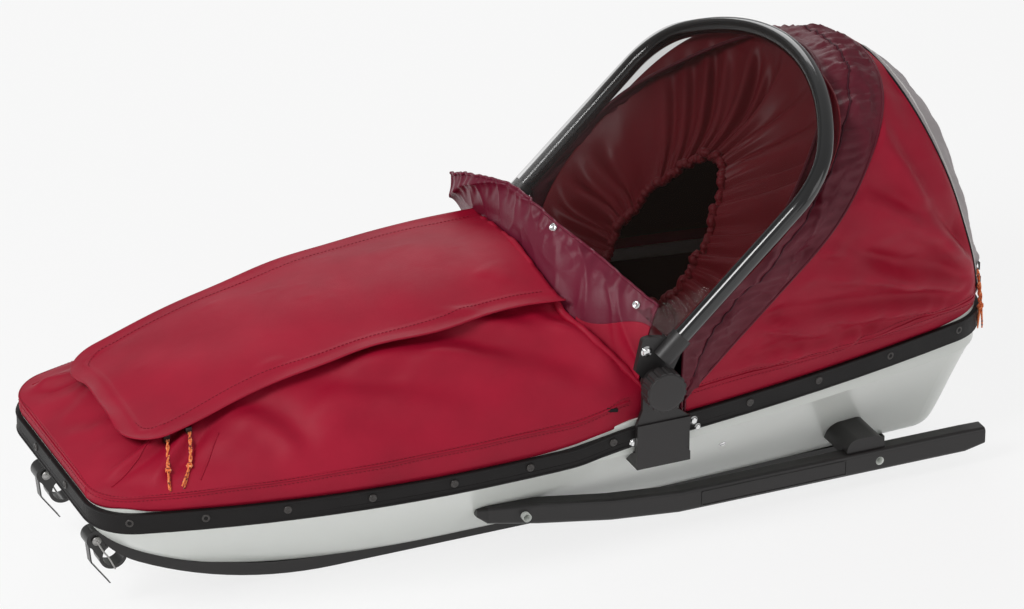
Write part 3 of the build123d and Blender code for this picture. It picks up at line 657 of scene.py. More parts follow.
def cover_plan():
    share = np.linspace(0.0, 1.0, COVER_ROWS)
    share = 1 - (1 - share) ** 1.25
    across = np.linspace(-1.0, 1.0, COVER_COLUMNS)
    across = np.sign(across) * np.abs(across) ** 0.92
    s, v = np.meshgrid(share, across, indexing="ij")
    rear = np.full_like(s, COVER_REAR[-1][1])
    for _ in range(20):
        z = cover_height(rear, v * rim_half(rear))
        rear = 0.6 * rear + 0.4 * table(z, COVER_REAR, 1)
    x = rear + (BOW_X - rear) * s
    y = v * (rim_half(x) + 1.0 - TUCK_IN * step(-x, 25.0, 75.0))
    return x, y


FOLD_GAIN = 1.4
COVER_FOLDS = [
    ((560, 110), (690, 150), 9, 5.0, 6),
    ((540, 135), (640, 205), 10, 5.0, -4),
    ((500, 150), (420, 245), 16, 5.0, 10),
    ((330, 150), (80, 235), 20, 6.5, 14),
    ((260, 165), (-40, 268), 16, 5.0, 10),
    ((150, 130), (-60, 200), 16, 5.5, -10),
    ((420, 190), (160, 255), 18, 4.5, 8),
    ((40, 150), (-70, 262), 12, 5.0, 6),
    ((480, -150), (200, -235), 18, 5.0, 10),
    ((200, -150), (-40, -250), 16, 5.0, -8),
    ((560, -120), (690, -150), 10, 5.0, 5),
]
x, y = cover_plan()
plan = np.stack([x, y], axis=-1)
lift = 2.6 * waves(plan, 11, 150.0) + 1.5 * waves(plan, 12, 55.0, math.pi / 2, 0.7)
lift = lift + folds(plan, COVER_FOLDS, FOLD_GAIN)
calm = step(np.minimum(rim_half(x) + 1.0 - np.abs(y), BOW_X - x), 0.0, 45.0)
top = np.stack([x, y, cover_height(x, y)], axis=-1)
top = top + outward(top, np.array([0.0, 0.0, 1.0])) * (lift * calm)[..., None]

# Hem: rows past the crown's edge drop to the rail, each pushed out by its bulge
full = np.pad(top, ((0, HEM_ROWS), (HEM_ROWS, HEM_ROWS), (0, 0)), mode="edge")
i, j = np.indices(full.shape[:2])
last_row, last_column = np.array(full.shape[:2]) - 1 - HEM_ROWS
share = np.maximum.reduce([i - last_row, HEM_ROWS - j, j - last_column, 0 * i]) / HEM_ROWS
px, py, pz = np.moveaxis(full.copy(), -1, 0)
way = unit(np.stack([px - BOW_CENTRE_X, py - np.copysign(BOW_CENTRE_Y, py)], axis=-1))
way = np.where((np.abs(py) < BOW_CENTRE_Y)[..., None], [1.0, 0.0], way)
aside = np.stack([0 * py, np.copysign(1.0, py)], axis=-1)
way = np.where((px < BOW_LEAVE)[..., None], aside, way)
bulge = (1.6 + np.sin(px * 0.045)) * np.sin(share * math.pi) + 0.6 * share
full[..., 2] += (rail_top(px) + lip_show(px) + 0.6 - pz) * share
full[..., :2] += way * bulge[..., None] * (share > 0)[..., None]
cover = dress(grid("cover_cloth", full, red_cloth, thick=1.2, offset=-1.0), "front_cover")


def tree_of(obj):
    return BVHTree.FromObject(obj, bpy.context.evaluated_depsgraph_get())


def drop(tree, x, y):
    """Where a plumb line over a plan place meets a cloth, and the normal there."""
    return tree.ray_cast(Vector((x * MM, y * MM, 1.0)), Vector((0, 0, -1)))[:2]


def on_cover(x, y, lift=0.0):
    """Point on the finished cover's crown over a plan place."""
    place, out = drop(cover_tree, x, y)
    if place is None:
        return np.array([x, y, float(cover_height(x, y)) + lift])
    return np.array(place + out * lift * MM) / MM


cover_tree = tree_of(cover)

# Flap over the front zip
FLAP_SIDE = [
    (-30.0, 160.0),
    (40.0, 158.0),
    (100.0, 160.0),
    (200.0, 164.0),
    (330.0, 159.0),
    (460.0, 150.0),
    (580.0, 153.0),
    (648.0, 149.0),
]
FLAP_FRONT = 644.0
FLAP_CORNER = 58.0
FLAP_CALM = 70
FLAP_REAR_SWEEP = 18.0
FLAP_SEAM = 27.0
s, v = np.meshgrid(1 - (1 - np.linspace(0.0, 1.0, 140)) ** 1.2, np.linspace(-1.0, 1.0, 81), indexing="ij")
flap_rear = 2.0 - FLAP_REAR_SWEEP * v**2
fx = flap_rear + (FLAP_FRONT - flap_rear) * s
into = np.clip(fx - (FLAP_FRONT - FLAP_CORNER), 0.0, FLAP_CORNER - 0.3)
wide = table(fx, FLAP_SIDE, 1) - (FLAP_CORNER - np.sqrt(FLAP_CORNER**2 - into**2))
plan = np.stack([fx, v * wide], axis=-1)
cover_z = np.array([on_cover(a, b)[2] for a, b in plan.reshape(-1, 2)]).reshape(fx.shape)
calm = cover_z
for _ in range(FLAP_CALM):
    wider = np.pad(calm, 1, mode="edge")
    calm = (wider[:-2, 1:-1] + wider[2:, 1:-1] + wider[1:-1, :-2] + wider[1:-1, 2:]) / 4
edge = np.minimum((1 - np.abs(v)) * wide, FLAP_FRONT - fx)
curl = 8.0 * np.exp(-edge / 22.0) * (0.75 + 0.25 * np.sin(fx * 0.021 + 1.0))
sag = 1.2 * waves(plan, 31, 170.0) * step(edge, 0, 40)
ridge = 1.4 * np.exp(-(((edge - FLAP_SEAM) / 3.0) ** 2))
rise = np.maximum(calm + 3.0, cover_z) + 4.0 + curl + sag + ridge
flap = grid("cover_flap_cloth", np.dstack([plan, rise]), red_cloth, thick=2.2, offset=1.0)
dress(flap, "cover_flap")

# Lap collar: stands up at the cover's rear edge and flops at its ends.
# Columns: place across, from -1 at starboard to 1 at port, then x, y, z
COLLAR_FOOT = [
    (-1.0, -46, -232, 300),
    (-0.6, -22, -150, 352),
    (-0.25, -6, -62, 386),
    (0.0, -4, 0, 391),
    (0.3, -7, 75, 384),
    (0.65, -26, 164, 346),
    (1.0, -88, 255, 278),
]
COLLAR_TOP = [
    (-1.0, 10, -196, 428),
    (-0.6, -2, -128, 455),
    (-0.25, -28, -60, 463),
    (0.0, -36, 0, 462),
    (0.3, -48, 62, 447),
    (0.65, -84, 140, 417),
    (1.0, -124, 242, 382),
]
COLLAR_TALL = 85.0
COLLAR_SPAN = 300.0
FACING_START = 0.66
s, t = np.meshgrid(np.linspace(-1, 1, 281), np.linspace(0, 1, 57), indexing="ij")
foot, head = (np.stack([table(s, rows, k) for k in (1, 2, 3)], axis=-1) for rows in (COLLAR_FOOT, COLLAR_TOP))
strip = foot + (head - foot) * t[..., None]
collar_out = outward(strip, np.array([1.0, 0.0, 0.6]))
flat = np.stack([s * COLLAR_SPAN, t * COLLAR_TALL], axis=-1)
crumple = 7.5 * ridges(waves(flat, 41, 150.0, 1.0, 0.7), 2.0)
crumple += 1.8 * ridges(waves(flat, 43, 90.0, 0.5, 1.0), 2.4)
crumple += 0.9 * waves(flat, 42, 24.0, 0.0, 0.5) * step(flat[..., 1], 45.0, 80.0)
swell = 10.0 * np.sin(t * math.pi) + 5.0 * step(t, 0.3, 1.0) + 1.5 * crumple * step(t, 0.03, 0.35)
strip = strip + collar_out * swell[..., None]
collar = dress(grid("lap_collar_cloth", strip, collar_cloth, thick=1.2), "lap_collar")
collar_top = strip[:, -1] + collar_out[:, -1]
collar_hem = fit("collar_hem", [tube(collar_top, 2.3, 8)], collar_cloth)

# Facing at the collar's port end, sewn on from the cover's cloth
u, w = np.meshgrid(np.linspace(0, 1, 60), np.linspace(0, 1, 30), indexing="ij")
across = (FACING_START + (1.0 - FACING_START) * u + 1) / 2
climb = w * (0.06 + 0.66 * step(u, 0.0, 1.0))
facing_points = sample(strip, across, climb) + sample(collar_out, across, climb) * 1.6
facing = dress(grid("collar_facing", facing_points, red_cloth, thick=1.0, offset=1.0))

# Snaps on the collar, columns: place across, place up
SNAPS = [(0.3, 0.9), (0.9, 0.82)]
SNAP_PROFILE = [(6.4, -0.6), (6.4, 0.8), (5.2, 2.0), (3.4, 2.3), (2.6, 1.5), (0.2, 1.4)]
snap_parts = []
for place, high in SNAPS:
    where, axis = (sample(points, (place + 1) / 2, high) for points in (strip, collar_out))
    snap_parts.append(turned(where + axis * 0.8, axis, SNAP_PROFILE, 24))
snaps = fit("collar_snaps", snap_parts, chrome)

# Roll of cloth along the cover's rear seam
ROLL_SHIFT = np.array([4.0, 0.0, 3.0])
rear_edge = even(full[0, HEM_ROWS:-HEM_ROWS], 160)
share = np.linspace(0, 1, 160)
roll_r = 5.2 + 0.6 * np.sin(share * 61.0) + 0.4 * np.sin(share * 149.0)
roll_r = roll_r * (0.55 + 0.45 * step(np.minimum(share, 1 - share), 0.0, 0.06))
fit("rear_seam_roll", [tube(rear_edge + ROLL_SHIFT, roll_r, 14)], red_cloth)

# Hood sections, columns: x, half width and height at the shoulder, crown height
HOOD_ROWS = [
    (-60.0, 277.0, 470.0, 648.0),
    (-170.0, 275.0, 470.0, 648.0),
    (-310.0, 270.0, 466.0, 648.0),
    (-455.0, 252.0, 440.0, 645.0),
    (-560.0, 226.0, 400.0, 612.0),
    (-640.0, 190.0, 345.0, 528.0),
    (-684.0, 152.0, 296.0, 405.0),
    (-700.0, 124.0, 262.0, 322.0),
    (-705.0, 92.0, 236.0, 262.0),
    (-706.4, 74.0, 224.0, 232.0),
]
HOOD_COLUMNS = 241
HOOD_HEM = 34.0


def hood_section(x):
    """Points of the hood's section at x from port foot over the crown to starboard foot."""
    rows = [(-r[0], *r[1:]) for r in HOOD_ROWS]
    half, shoulder, crown = (float(table(-x, rows, k)) for k in (1, 2, 3))
    foot = float(rim_half(x)) + 0.8
    low = float(rail_top(x) + lip_show(x)) + 0.6
    rise = max(crown - shoulder, 1.0)
    radius = (half**2 + rise**2) / (2 * rise)
    reach = math.asin(min(1.0, half / radius))
    if rise > half:
        reach = math.pi - reach
    angles = np.linspace(reach, -reach, 120)
    arc = np.stack([radius * np.sin(angles), crown - radius + radius * np.cos(angles)], axis=1)
    sides = np.linspace(0.0, 1.0, 60)[:-1, None]
    start = np.array([foot, low])
    port = start + (arc[0] - start) * sides
    star = port[::-1] * np.array([-1.0, 1.0])
    line = np.concatenate([port, arc, star])
    line = np.stack([np.zeros(len(line)), line[:, 0], line[:, 1]], axis=1)
    line = even(line, HOOD_COLUMNS)
    soft = line.copy()
    for _ in range(106):
        soft[1:-1] = 0.25 * soft[:-2] + 0.5 * soft[1:-1] + 0.25 * soft[2:]
    soft[:, 0] = x
    return soft


hood_x = [*np.linspace(-60, -640, 90), *np.linspace(-645, -698, 20), *np.linspace(-700, -706.4, 12)]
hood_rows = np.array([hood_section(x) for x in hood_x])
FRONT_OFF = 12.5
NOTCH_X = -152.0
BAND_WIDE = 80.0
BAND_LEAST = 6.0
HOOD_CENTRE = np.array([-350.0, 0.0, 330.0])


def hood_between(start, end, count):
    """Grid of the hood between two places found along each column."""
    columns = []
    for column in hood_rows.swapaxes(0, 1):
        run = runs(column)
        columns.append(at_runs(column, run, np.linspace(start(column, run), end(column, run), count)))
    return np.stack(columns, axis=1)


def cross_plane(point, normal):
    """Finder of where a column crosses a plane, going aft."""

    def find(column, run):
        side = (column - point) @ normal
        below = np.nonzero(side < 0)[0]
        if len(below) == 0:
            return run[-1]
        k = below[0]
        if k == 0:
            return 0.0
        return run[k - 1] + (run[k] - run[k - 1]) * side[k - 1] / (side[k - 1] - side[k])

    return find


arch_plane = cross_plane(PIVOT + ARCH_AHEAD * FRONT_OFF, ARCH_AHEAD)
band_plane = cross_plane(PIVOT + ARCH_AHEAD * (FRONT_OFF - BAND_WIDE), ARCH_AHEAD)
notch_plane = cross_plane(np.array([NOTCH_X, 0.0, 0.0]), np.array([1.0, 0.0, 0.0]))
panel_low = np.array([-690.0, 0.0, 262.0])
panel_rise = np.array([-590.0, 0.0, 545.0]) - panel_low
panel_normal = np.array([panel_rise[2], 0.0, -panel_rise[0]]) / np.linalg.norm(panel_rise)
panel_plane = cross_plane(panel_low, panel_normal)


def hood_front(column, run):
    return max(arch_plane(column, run), notch_plane(column, run))


def band_rear(column, run):
    return max(band_plane(column, run), hood_front(column, run) + BAND_LEAST)


def hood_end(column, run):
    return run[-1]


def hood_piece(name, node, start, end, count, mat, ruffle):
    """Cloth over one part of the hood, its points and their outward normals."""
    points = hood_between(start, end, count)
    out = outward(points, points - HOOD_CENTRE)
    points = points + out * ruffle(points)[..., None]
    return dress(grid(name, points, mat, thick=1.2), node), points, out


def sheet_plane(points):
    """Flat coordinates of a hood grid: distance round the section and along it."""
    along = np.cumsum(np.linalg.norm(np.diff(points, axis=0, prepend=points[:1]), axis=-1), axis=0)
    round_run = np.linspace(-1, 1, points.shape[1]) * 700.0
    return np.stack([np.broadcast_to(round_run, along.shape), along], axis=-1)


ZIP_AT = 0.42


def band_ruffle(points):
    flat = sheet_plane(points)
    gather = 6.0 * ridges(waves(flat, 51, 34.0, 0.0, 0.35), 1.6)
    gather += 5.0 * ridges(waves(flat, 53, 70.0, 0.9, 0.5), 1.8)
    gather += 3.2 * waves(flat, 52, 80.0, 0.3, 0.6)
    across = np.linspace(0, 1, len(points))[:, None]
    calm = step(across, 0.0, 0.2) * step(1 - across, 0.0, 0.15)
    hug = -15.0 * (1 - step(across, 0.0, 0.5)) * step(points[..., 2], 430.0, 580.0)
    return gather * calm + hug - 2.5 * np.exp(-(((across - ZIP_AT) / 0.06) ** 2))


# Soft folds of the hood's sides, in x and z: from, to, width, height, bend
HOOD_FOLD_GAIN = 1.9
HOOD_FOLDS = [
    ((-700, 262), (-420, 500), 15, 8.0, 18),
    ((-695, 250), (-330, 400), 15, 7.5, 14),
    ((-690, 240), (-240, 330), 13, 7.0, 8),
    ((-640, 330), (-500, 560), 15, 5.5, -12),
    ((-640, 238), (-200, 268), 10, 4.5, 6),
    ((-560, 300), (-300, 470), 11, 4.5, 10),
    ((-430, 270), (-230, 360), 10, 4.0, -8),
]


def hood_ruffle(points):
    flat = sheet_plane(points)
    field = 2.2 * waves(flat, 61, 190.0) + 0.8 * waves(flat, 62, 60.0)
    field += folds(points[..., ::2], HOOD_FOLDS, HOOD_FOLD_GAIN) * step(np.abs(points[..., 1]), 90, 170)
    over_rail = points[..., 2] - rail_top(points[..., 0])
    field += 1.4 * waves(flat, 63, 45.0, math.pi / 2, 0.3) * np.exp(-(((over_rail - 50.0) / 22.0) ** 2))
    across = np.linspace(0, 1, len(points))[:, None]
    calm = step(across, 0.0, 0.1) * step(1 - across, 0.0, 0.1) * step(over_rail, 4.0, HOOD_HEM + 6.0)
    return field * calm - 1.8 * np.exp(-(((over_rail - HOOD_HEM) / 4.0) ** 2))


def panel_ruffle(points):
    flat = sheet_plane(points)
    field = 2.6 * waves(flat, 71, 110.0) + 1.2 * waves(flat, 72, 40.0, 0.0, 0.6)
    return field * step(np.linspace(0, 1, len(points))[:, None], 0.0, 0.15)


band, band_points, band_out = hood_piece(
    "hood_band_cloth", "hood_band", hood_front, band_rear, 56, dark_cloth, band_ruffle
)
shell, shell_points, shell_out = hood_piece(
    "hood_cloth", "hood_shell", band_rear, panel_plane, 130, red_cloth, hood_ruffle
)
panel, panel_points, panel_out = hood_piece(
    "hood_rear_cloth", "hood_rear_panel", panel_plane, hood_end, 50, grey_cloth, panel_ruffle
)

# Zips and piping on the hood
FREE_FOOT = 11
zip_row = int(ZIP_AT * (len(band_points) - 1))
zip_line = (band_points[zip_row] + band_out[zip_row] * 0.6)[FREE_FOOT:-FREE_FOOT]
band_zip = fit("band_zip", [coil(zip_line, 2.0, 3.4), tube(zip_line, 1.5, 6)], zip_cloth)
piping = fit("hood_piping", [tube(shell_points[0] + shell_out[0] * 0.4, 1.9, 8)], dark_cloth)
edge_roll = fit("hood_edge_roll", [tube(band_points[0], 2.6, 8)], dark_cloth)
panel_line = panel_points[0] + panel_out[0] * 0.5
panel_parts = [coil(panel_line, 2.2, 3.6), tube(panel_line, 1.7, 6)]
panel_zip = fit("panel_zip", panel_parts, black_cloth)
tape_line = panel_points[2] + panel_out[2] * 0.5
panel_tape = fit("panel_tape", [tube(tape_line, 1.6, 8)], white_cloth)

# Lining: pleated cloth from the arch to an elastic rim round the seat.
# Columns: share of its depth, place ahead of the pivot plane, half width, low end, high end
LINING_ROWS = [
    (0.0, 2.0, 271.0, -10.0, 491.0),
    (0.35, -24.0, 220.0, 2.0, 432.0),
    (0.7, -38.0, 158.0, 22.0, 362.0),
    (1.0, -34.0, 102.0, 42.0, 296.0),
]
PLEATS = 26
ROUND_POWER = 2.0 / 2.7
HOLE_TILT = 19.0
HOLE_EGG = 0.3
turn, deep = np.meshgrid(np.linspace(0, 2 * math.pi, 601)[:-1], np.linspace(0, 1, 46), indexing="xy")
ahead, half, low, high = (table(deep, LINING_ROWS, k) for k in (1, 2, 3, 4))
inner = step(deep, 0.2, 1.0)
power = ROUND_POWER + (1 - ROUND_POWER) * inner
across, upward = (np.sign(c) * np.abs(c) ** power for c in (np.cos(turn), np.sin(turn)))
ring_y = half * across * (1 - HOLE_EGG * np.sin(turn) * inner)
ring_up = (low + high) / 2 + (high - low) / 2 * upward
ahead = ahead + HOLE_TILT * np.sin(turn) * inner
uneven = turn + 0.09 * np.sin(3 * turn + 0.4) + 0.05 * np.sin(7 * turn + 1.0) + 0.02 * np.sin(13 * turn + 2.0)
pleat = np.sin(uneven * PLEATS) + 0.6 * np.sin(uneven * PLEATS / 2 + 1.0) + 0.5 * np.sin(uneven * 9 + 2.0)
tuck = 7.5 * pleat * step(deep, 0.0, 0.4) * (1 - 0.5 * step(deep, 0.6, 1.0))
tuck += 2.6 * np.sin(uneven * PLEATS * 3 + 0.5) * step(deep, 0.55, 0.95)
lining_points = in_arch(ahead + 0.9 * tuck, ring_y * (1 - tuck / 420), ring_up + 0.35 * tuck)
lining = grid("lining_cloth", lining_points, lining_cloth, thick=1.0, wrap=True)
dress(lining, "hood_lining")
rim_line = lining_points[-1]
rim_r = 6.0 + 1.3 * np.sin(np.linspace(0, 2 * math.pi * 96, len(rim_line))) + 0.6 * pleat[-1]
rim_tube = tube([*rim_line, *rim_line[:2]], [*rim_r, *rim_r[:2]], 10)
rim = fit("lining_rim", [rim_tube], lining_cloth)

# Textile liner in the tub, in black cloth that is partly the black seat insert and partly painted shade for
# the dark inside of the hull. Columns: height over the floor, share of the rim's half width
LINER_LEVELS = [(0.0, 0.0), (0.5, 0.3), (6.0, 0.44), (25.0, 0.53)]
LINER_LEVELS += [(70.0, 0.66), (110.0, 0.78), (150.0, 0.92), (196.0, 0.975)]
LINER_FLOOR = 15.5
LINER_INSET = 9.0
run_x = np.linspace(-600.0, 330.0, 70)
level = np.linspace(-1, 1, 61)[:, None]
place = np.abs(level) * (len(LINER_LEVELS) - 1)
height, share = (np.interp(place, range(len(LINER_LEVELS)), column) for column in zip(*LINER_LEVELS))
side = np.maximum(rim_half(run_x) * share - LINER_INSET * np.abs(level), 0.0) * np.sign(level)
ends = 26.0 * step(run_x, 150.0, 330.0) + 10.0 * step(-run_x, 480.0, 600.0)
lift = LINER_FLOOR + height + ends * (1 - height / LINER_LEVELS[-1][0])
liner_points = np.stack([np.broadcast_to(run_x, side.shape), side, lift], axis=-1)
liner = dress(grid("seat_liner_and_painted_shade", liner_points, black_cloth, thick=2.0))

# Black inner layer of the hood behind the seat: a black sheet as painted shade for the dark inside of the
# hood
INNER_BACK = 75.0
INNER_INSET = 16.0
inner_plane = cross_plane(PIVOT - ARCH_AHEAD * INNER_BACK, ARCH_AHEAD)
inner_points = hood_between(inner_plane, hood_end, 46)
inner_points = inner_points - outward(inner_points, inner_points - HOOD_CENTRE) * INNER_INSET
hood_inner = grid("hood_inner_painted_shade", inner_points[:-6, 6:-6:3], black_cloth, thick=1.0)
dress(hood_inner)

# Pads: the plain foam blocks swollen by a cloth simulation, then sewn across
PAD_VOXEL = 0.006
PAD_FRAMES = 20
PAD_PRESSURE = 4.0
PAD_SEAM = 0.006


def soft_pad(node, shrink, cap, seams, seam_axis):
    """Cushion grown from a packed pad, with sewn channels at places along an axis."""
    pad_low, pad_high = (np.array(end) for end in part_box(node))
    centre = (pad_low + pad_high) / 2
    body = link(bpy.data.objects.new(node + "_cloth", nodes[node].data.copy()))
    spots = (vertices(body.data) - centre) * shrink + centre
    body.data.vertices.foreach_set("co", spots.ravel())
    remesh = body.modifiers.new("remesh", "REMESH")
    remesh.mode = "VOXEL"
    remesh.voxel_size = PAD_VOXEL
    body.data = evaluated(body)
    body.modifiers.clear()
    start = vertices(body.data)
    soft = body.modifiers.new("cloth", "CLOTH")
    soft.settings.use_pressure = True
    soft.settings.uniform_pressure_force = PAD_PRESSURE
    soft.settings.effector_weights.gravity = 0.0
    for frame_number in range(1, PAD_FRAMES + 1):
        scene.frame_set(frame_number)
    swollen = vertices(evaluated(body))
    body.modifiers.clear()
    scene.frame_set(1)
    shift = swollen - start
    far = np.linalg.norm(shift, axis=1, keepdims=True)
    start = start + shift * np.minimum(1.0, cap / np.maximum(far, 1e-9))
    inward = unit(centre - start)
    for share in seams:
        place = pad_low[seam_axis] + (pad_high - pad_low)[seam_axis] * share
        groove = np.exp(-(((start[:, seam_axis] - place) / PAD_SEAM) ** 2))
        start = start + inward * (PAD_SEAM * groove)[:, None]
    body.data.vertices.foreach_set("co", start.ravel())
    body.data.polygons.foreach_set("use_smooth", np.ones(len(body.data.polygons), bool))
    body.data.materials.clear()
    body.data.materials.append(black_cloth)
    subdivide(body)
    return dress(body, node)


seat_cushion = soft_pad("seat_pad", 0.96, 0.008, (0.25, 0.5, 0.75), 0)
back_cushion = soft_pad("back_pad", 0.96, 0.008, (0.3, 0.55, 0.8), 2)

# Rail: beads along its edges and ring rivets
RAIL_BEADS = [(2.2, 2.0), (9.5, 1.0), (RAIL_TALL - 2.0, 2.2)]
bead_parts = [tube(rim_ring(RAIL_OUT - 0.6, over - RAIL_TALL, 520), radius, 8) for over, radius in RAIL_BEADS]
fit("rail_beads", bead_parts, web_cloth)
RIVET_X = [666.0, 565.0, 452.0, 331.0, 210.0, 93.0, -39.0, -266.0, -386.0, -515.0, -644.0]
RIVET_DOWN = 12.5
RIVET_END_Y = 62.0
RIVET_PROFILE = [(6.0, -0.5), (6.0, 1.0), (5.0, 2.0), (3.6, 2.0), (3.0, 0.9), (0.2, 0.9)]
rivet_parts = []
for place in RIVET_X:
    slope = float(rim_half(place + 1.0) - rim_half(place - 1.0)) / 2
    axis = np.array([-slope, 1.0, 0.0]) / math.hypot(slope, 1.0)
    spot = np.array([place, float(rim_half(place)), float(rail_top(place)) - RIVET_DOWN]) + axis * RAIL_OUT
    rivet_parts += both_sides([turned(spot, axis, RIVET_PROFILE, 24)])
for end, axis in ((BOW_X + RAIL_OUT, 1.0), (STERN_X - RAIL_OUT, -1.0)):
    spot = (end, RIVET_END_Y, float(rail_top(end)) - RIVET_DOWN)
    rivet_parts += both_sides([turned(spot, (axis, 0, 0), RIVET_PROFILE, 24)])
fit("rail_rivets", rivet_parts, rivet_paint)

# Seams with thread: cover hem, hood hem, flap edge and corner darts
THREAD_OFF = 6.0
seam_parts = []
thread_parts = []
ring = rim_ring(8.0, 0.0, 700)
on_front = ring[ring[:, 0] > -72.0]
on_front = on_front[np.argsort(np.arctan2(on_front[:, 1], on_front[:, 0] + 300.0))]
on_front[:, 2] = rail_top(on_front[:, 0]) + table(on_front[:, 0], HEM_TALL, 1)


def on_cloth(points, lift):
    """Places on the cover nearest to points, lifted along its normals, and those normals."""
    hits = [cover_tree.find_nearest(Vector(p) * MM) for p in points]
    out = np.array([hit[1][:] for hit in hits])
    return np.array([hit[0][:] for hit in hits]) / MM + out * lift, out


seam_parts.append(tube(on_cloth(even(on_front, 500), 0.5)[0], 1.3, 6))
for offset in (-THREAD_OFF, THREAD_OFF):
    thread_parts += stitches(*on_cloth(even(on_front + np.array([0.0, 0.0, offset]), 500), 0.2))


def level_line(points, over, side):
    """Line at one height over the rail along a hood grid's port or starboard side."""
    rows = points[:, :80] if side > 0 else points[:, ::-1][:, :80]
    line = []
    for row in rows:
        want = float(rail_top(row[0, 0])) + over
        line.append([np.interp(want, row[:, 2], row[:, k]) for k in range(3)])
    return np.array(line)


for side in (1, -1):
    seam_parts.append(tube(level_line(shell_points + shell_out * 0.9, HOOD_HEM, side), 1.3, 6))
    for offset in (-THREAD_OFF, THREAD_OFF):
        line = level_line(shell_points + shell_out * 0.8, HOOD_HEM + offset, side)
        thread_parts += stitches(line, (0.0, side, 0.0))

flap_tree = tree_of(flap)
turn_r = FLAP_CORNER - FLAP_SEAM
straight = FLAP_FRONT - FLAP_CORNER
bend_x = straight + turn_r * np.sin(np.linspace(0.03, 1.5, 24))
xs = np.concatenate([np.linspace(8.0, straight, 110), bend_x])
into = np.clip(xs - straight, 0.0, turn_r)
ys = table(xs, FLAP_SIDE, 1) - FLAP_SEAM - (turn_r - np.sqrt(turn_r**2 - into**2))
places = [drop(flap_tree, a, b)[0] for a, b in [*zip(xs, ys), *zip(xs[::-1], -ys[::-1])]]
line = [np.array(place) / MM + np.array([0.0, 0.0, 0.3]) for place in places if place is not None]
thread_parts += stitches(even(line, 500), (0.0, 0.0, 1.0))

# Corner darts, as plan points
DARTS = [[(598, 122), (632, 146), (662, 160), (680, 166)], [(520, 168), (548, 196), (566, 214)]]
for dart in DARTS:
    for side in (1, -1):
        line = [on_cover(a, b * side, 0.3) for a, b in even([(*p, 0.0) for p in dart], 30)[:, :2]]
        seam_parts.append(tube(line, 1.2, 6))
fit("fabric_seams", seam_parts, red_cloth)
fit("fabric_threads", thread_parts, stitch)

# Clamp brackets: bolts, hull screws, knob caps and the foot plates' bolts
BOLT_PROFILE = [(8.5, -0.4), (8.5, 0.9), (6.4, 1.0), (6.2, 2.6), (5.0, 4.0), (2.6, 4.6), (0.2, 4.7)]
SCREW_PROFILE = [(6.0, -1.0), (6.0, 0.6), (4.6, 2.0), (2.2, 2.5), (0.2, 2.5)]
# Bolts beside the plate, columns: x, z, size
BRACKET_BOLTS = [(-72.0, 188.0, 0.8), (-171.0, 199.0, 0.8), (-178.0, 187.0, 0.65), (-121.0, 124.0, 0.75)]
side_trees = [tree_of(nodes[name]) for name in ("hull_shell", "gunwale_rail")]


def on_side(x, z):
    """Outermost place on the port side of the hull or rail, and the way out of it."""
    found = [tree.ray_cast(Vector((x * MM, 0.5, z * MM)), Vector((0, -1, 0))) for tree in side_trees]
    hit = max((f for f in found if f[0] is not None), key=lambda f: f[0].y)
    return np.array(hit[0]) / MM, np.array(hit[1]) * math.copysign(1.0, hit[1][1])


SCREW_AT = (-250.0, 112.0)
bolt_parts = []
for x, z, size in BRACKET_BOLTS:
    profile = [(r * size, h * size) for r, h in BOLT_PROFILE]
    bolt_parts += both_sides([turned(*on_side(x, z), profile, 24)])
bolt_parts += both_sides([turned(*on_side(*SCREW_AT), SCREW_PROFILE, 20)])
fit("bracket_bolts", bolt_parts, chrome)

FOOT_BOLT = (48.0, 24.0)
FOOT_FACE = 271.8
foot_spot = PIVOT + ARCH_AHEAD * FOOT_BOLT[0] + ARCH_UP * FOOT_BOLT[1]
foot_spot[1] = FOOT_FACE
foot_bolt_parts = both_sides([turned(foot_spot, (0, 1, 0), BOLT_PROFILE, 24)])
fit("foot_bolts", foot_bolt_parts, chrome, SCREEN)

CAP_PROFILE = [(28.5, -0.5), (28.5, 0.5), (27.4, 1.3), (24.0, 1.6), (12.0, 2.0), (0.2, 2.2)]
knob_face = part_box("screen_knob_left")[1][1] / MM
cap_parts = both_sides([turned((PIVOT[0], knob_face, PIVOT[2]), (0, 1, 0), CAP_PROFILE, 64)])
fit("knob_caps", cap_parts, knob_plastic)

# Tow brackets: cross pins and wire links
PIN_START = (690.0, 89.0, 122.0)
PIN_LONG = 34.0
PIN_PROFILE = [(6.6, 0.0), (6.6, 2.0), (4.4, 2.6)]
PIN_PROFILE += [(4.4, PIN_LONG - 2.6), (6.6, PIN_LONG - 2.0), (6.6, PIN_LONG)]
pin_parts = both_sides([turned(PIN_START, (0, 1, 0), PIN_PROFILE, 24)])
fit("tow_pins", pin_parts, dull_steel)
WIRE_POINTS = [(690, 124, 122), (684, 126, 108), (674, 126, 94), (668, 125, 80), (664, 122, 72)]
wire_line = spline_points("tow_wire_route", WIRE_POINTS)
fit("tow_wires", both_sides([tube(wire_line, 1.3, 8)]), dull_steel)

# Raised border of the bare panel on each side runner
BORDER = [(-440.0, 33.5), (-205.0, 33.5), (-205.0, 56.0), (-440.0, 56.0)]
BORDER_Y = 226.2
border_line = even([(x, BORDER_Y, z) for x, z in [*BORDER, BORDER[0]]], 240)
fit("runner_border", both_sides([tube(border_line, 1.1, 6)]), runner_plastic)
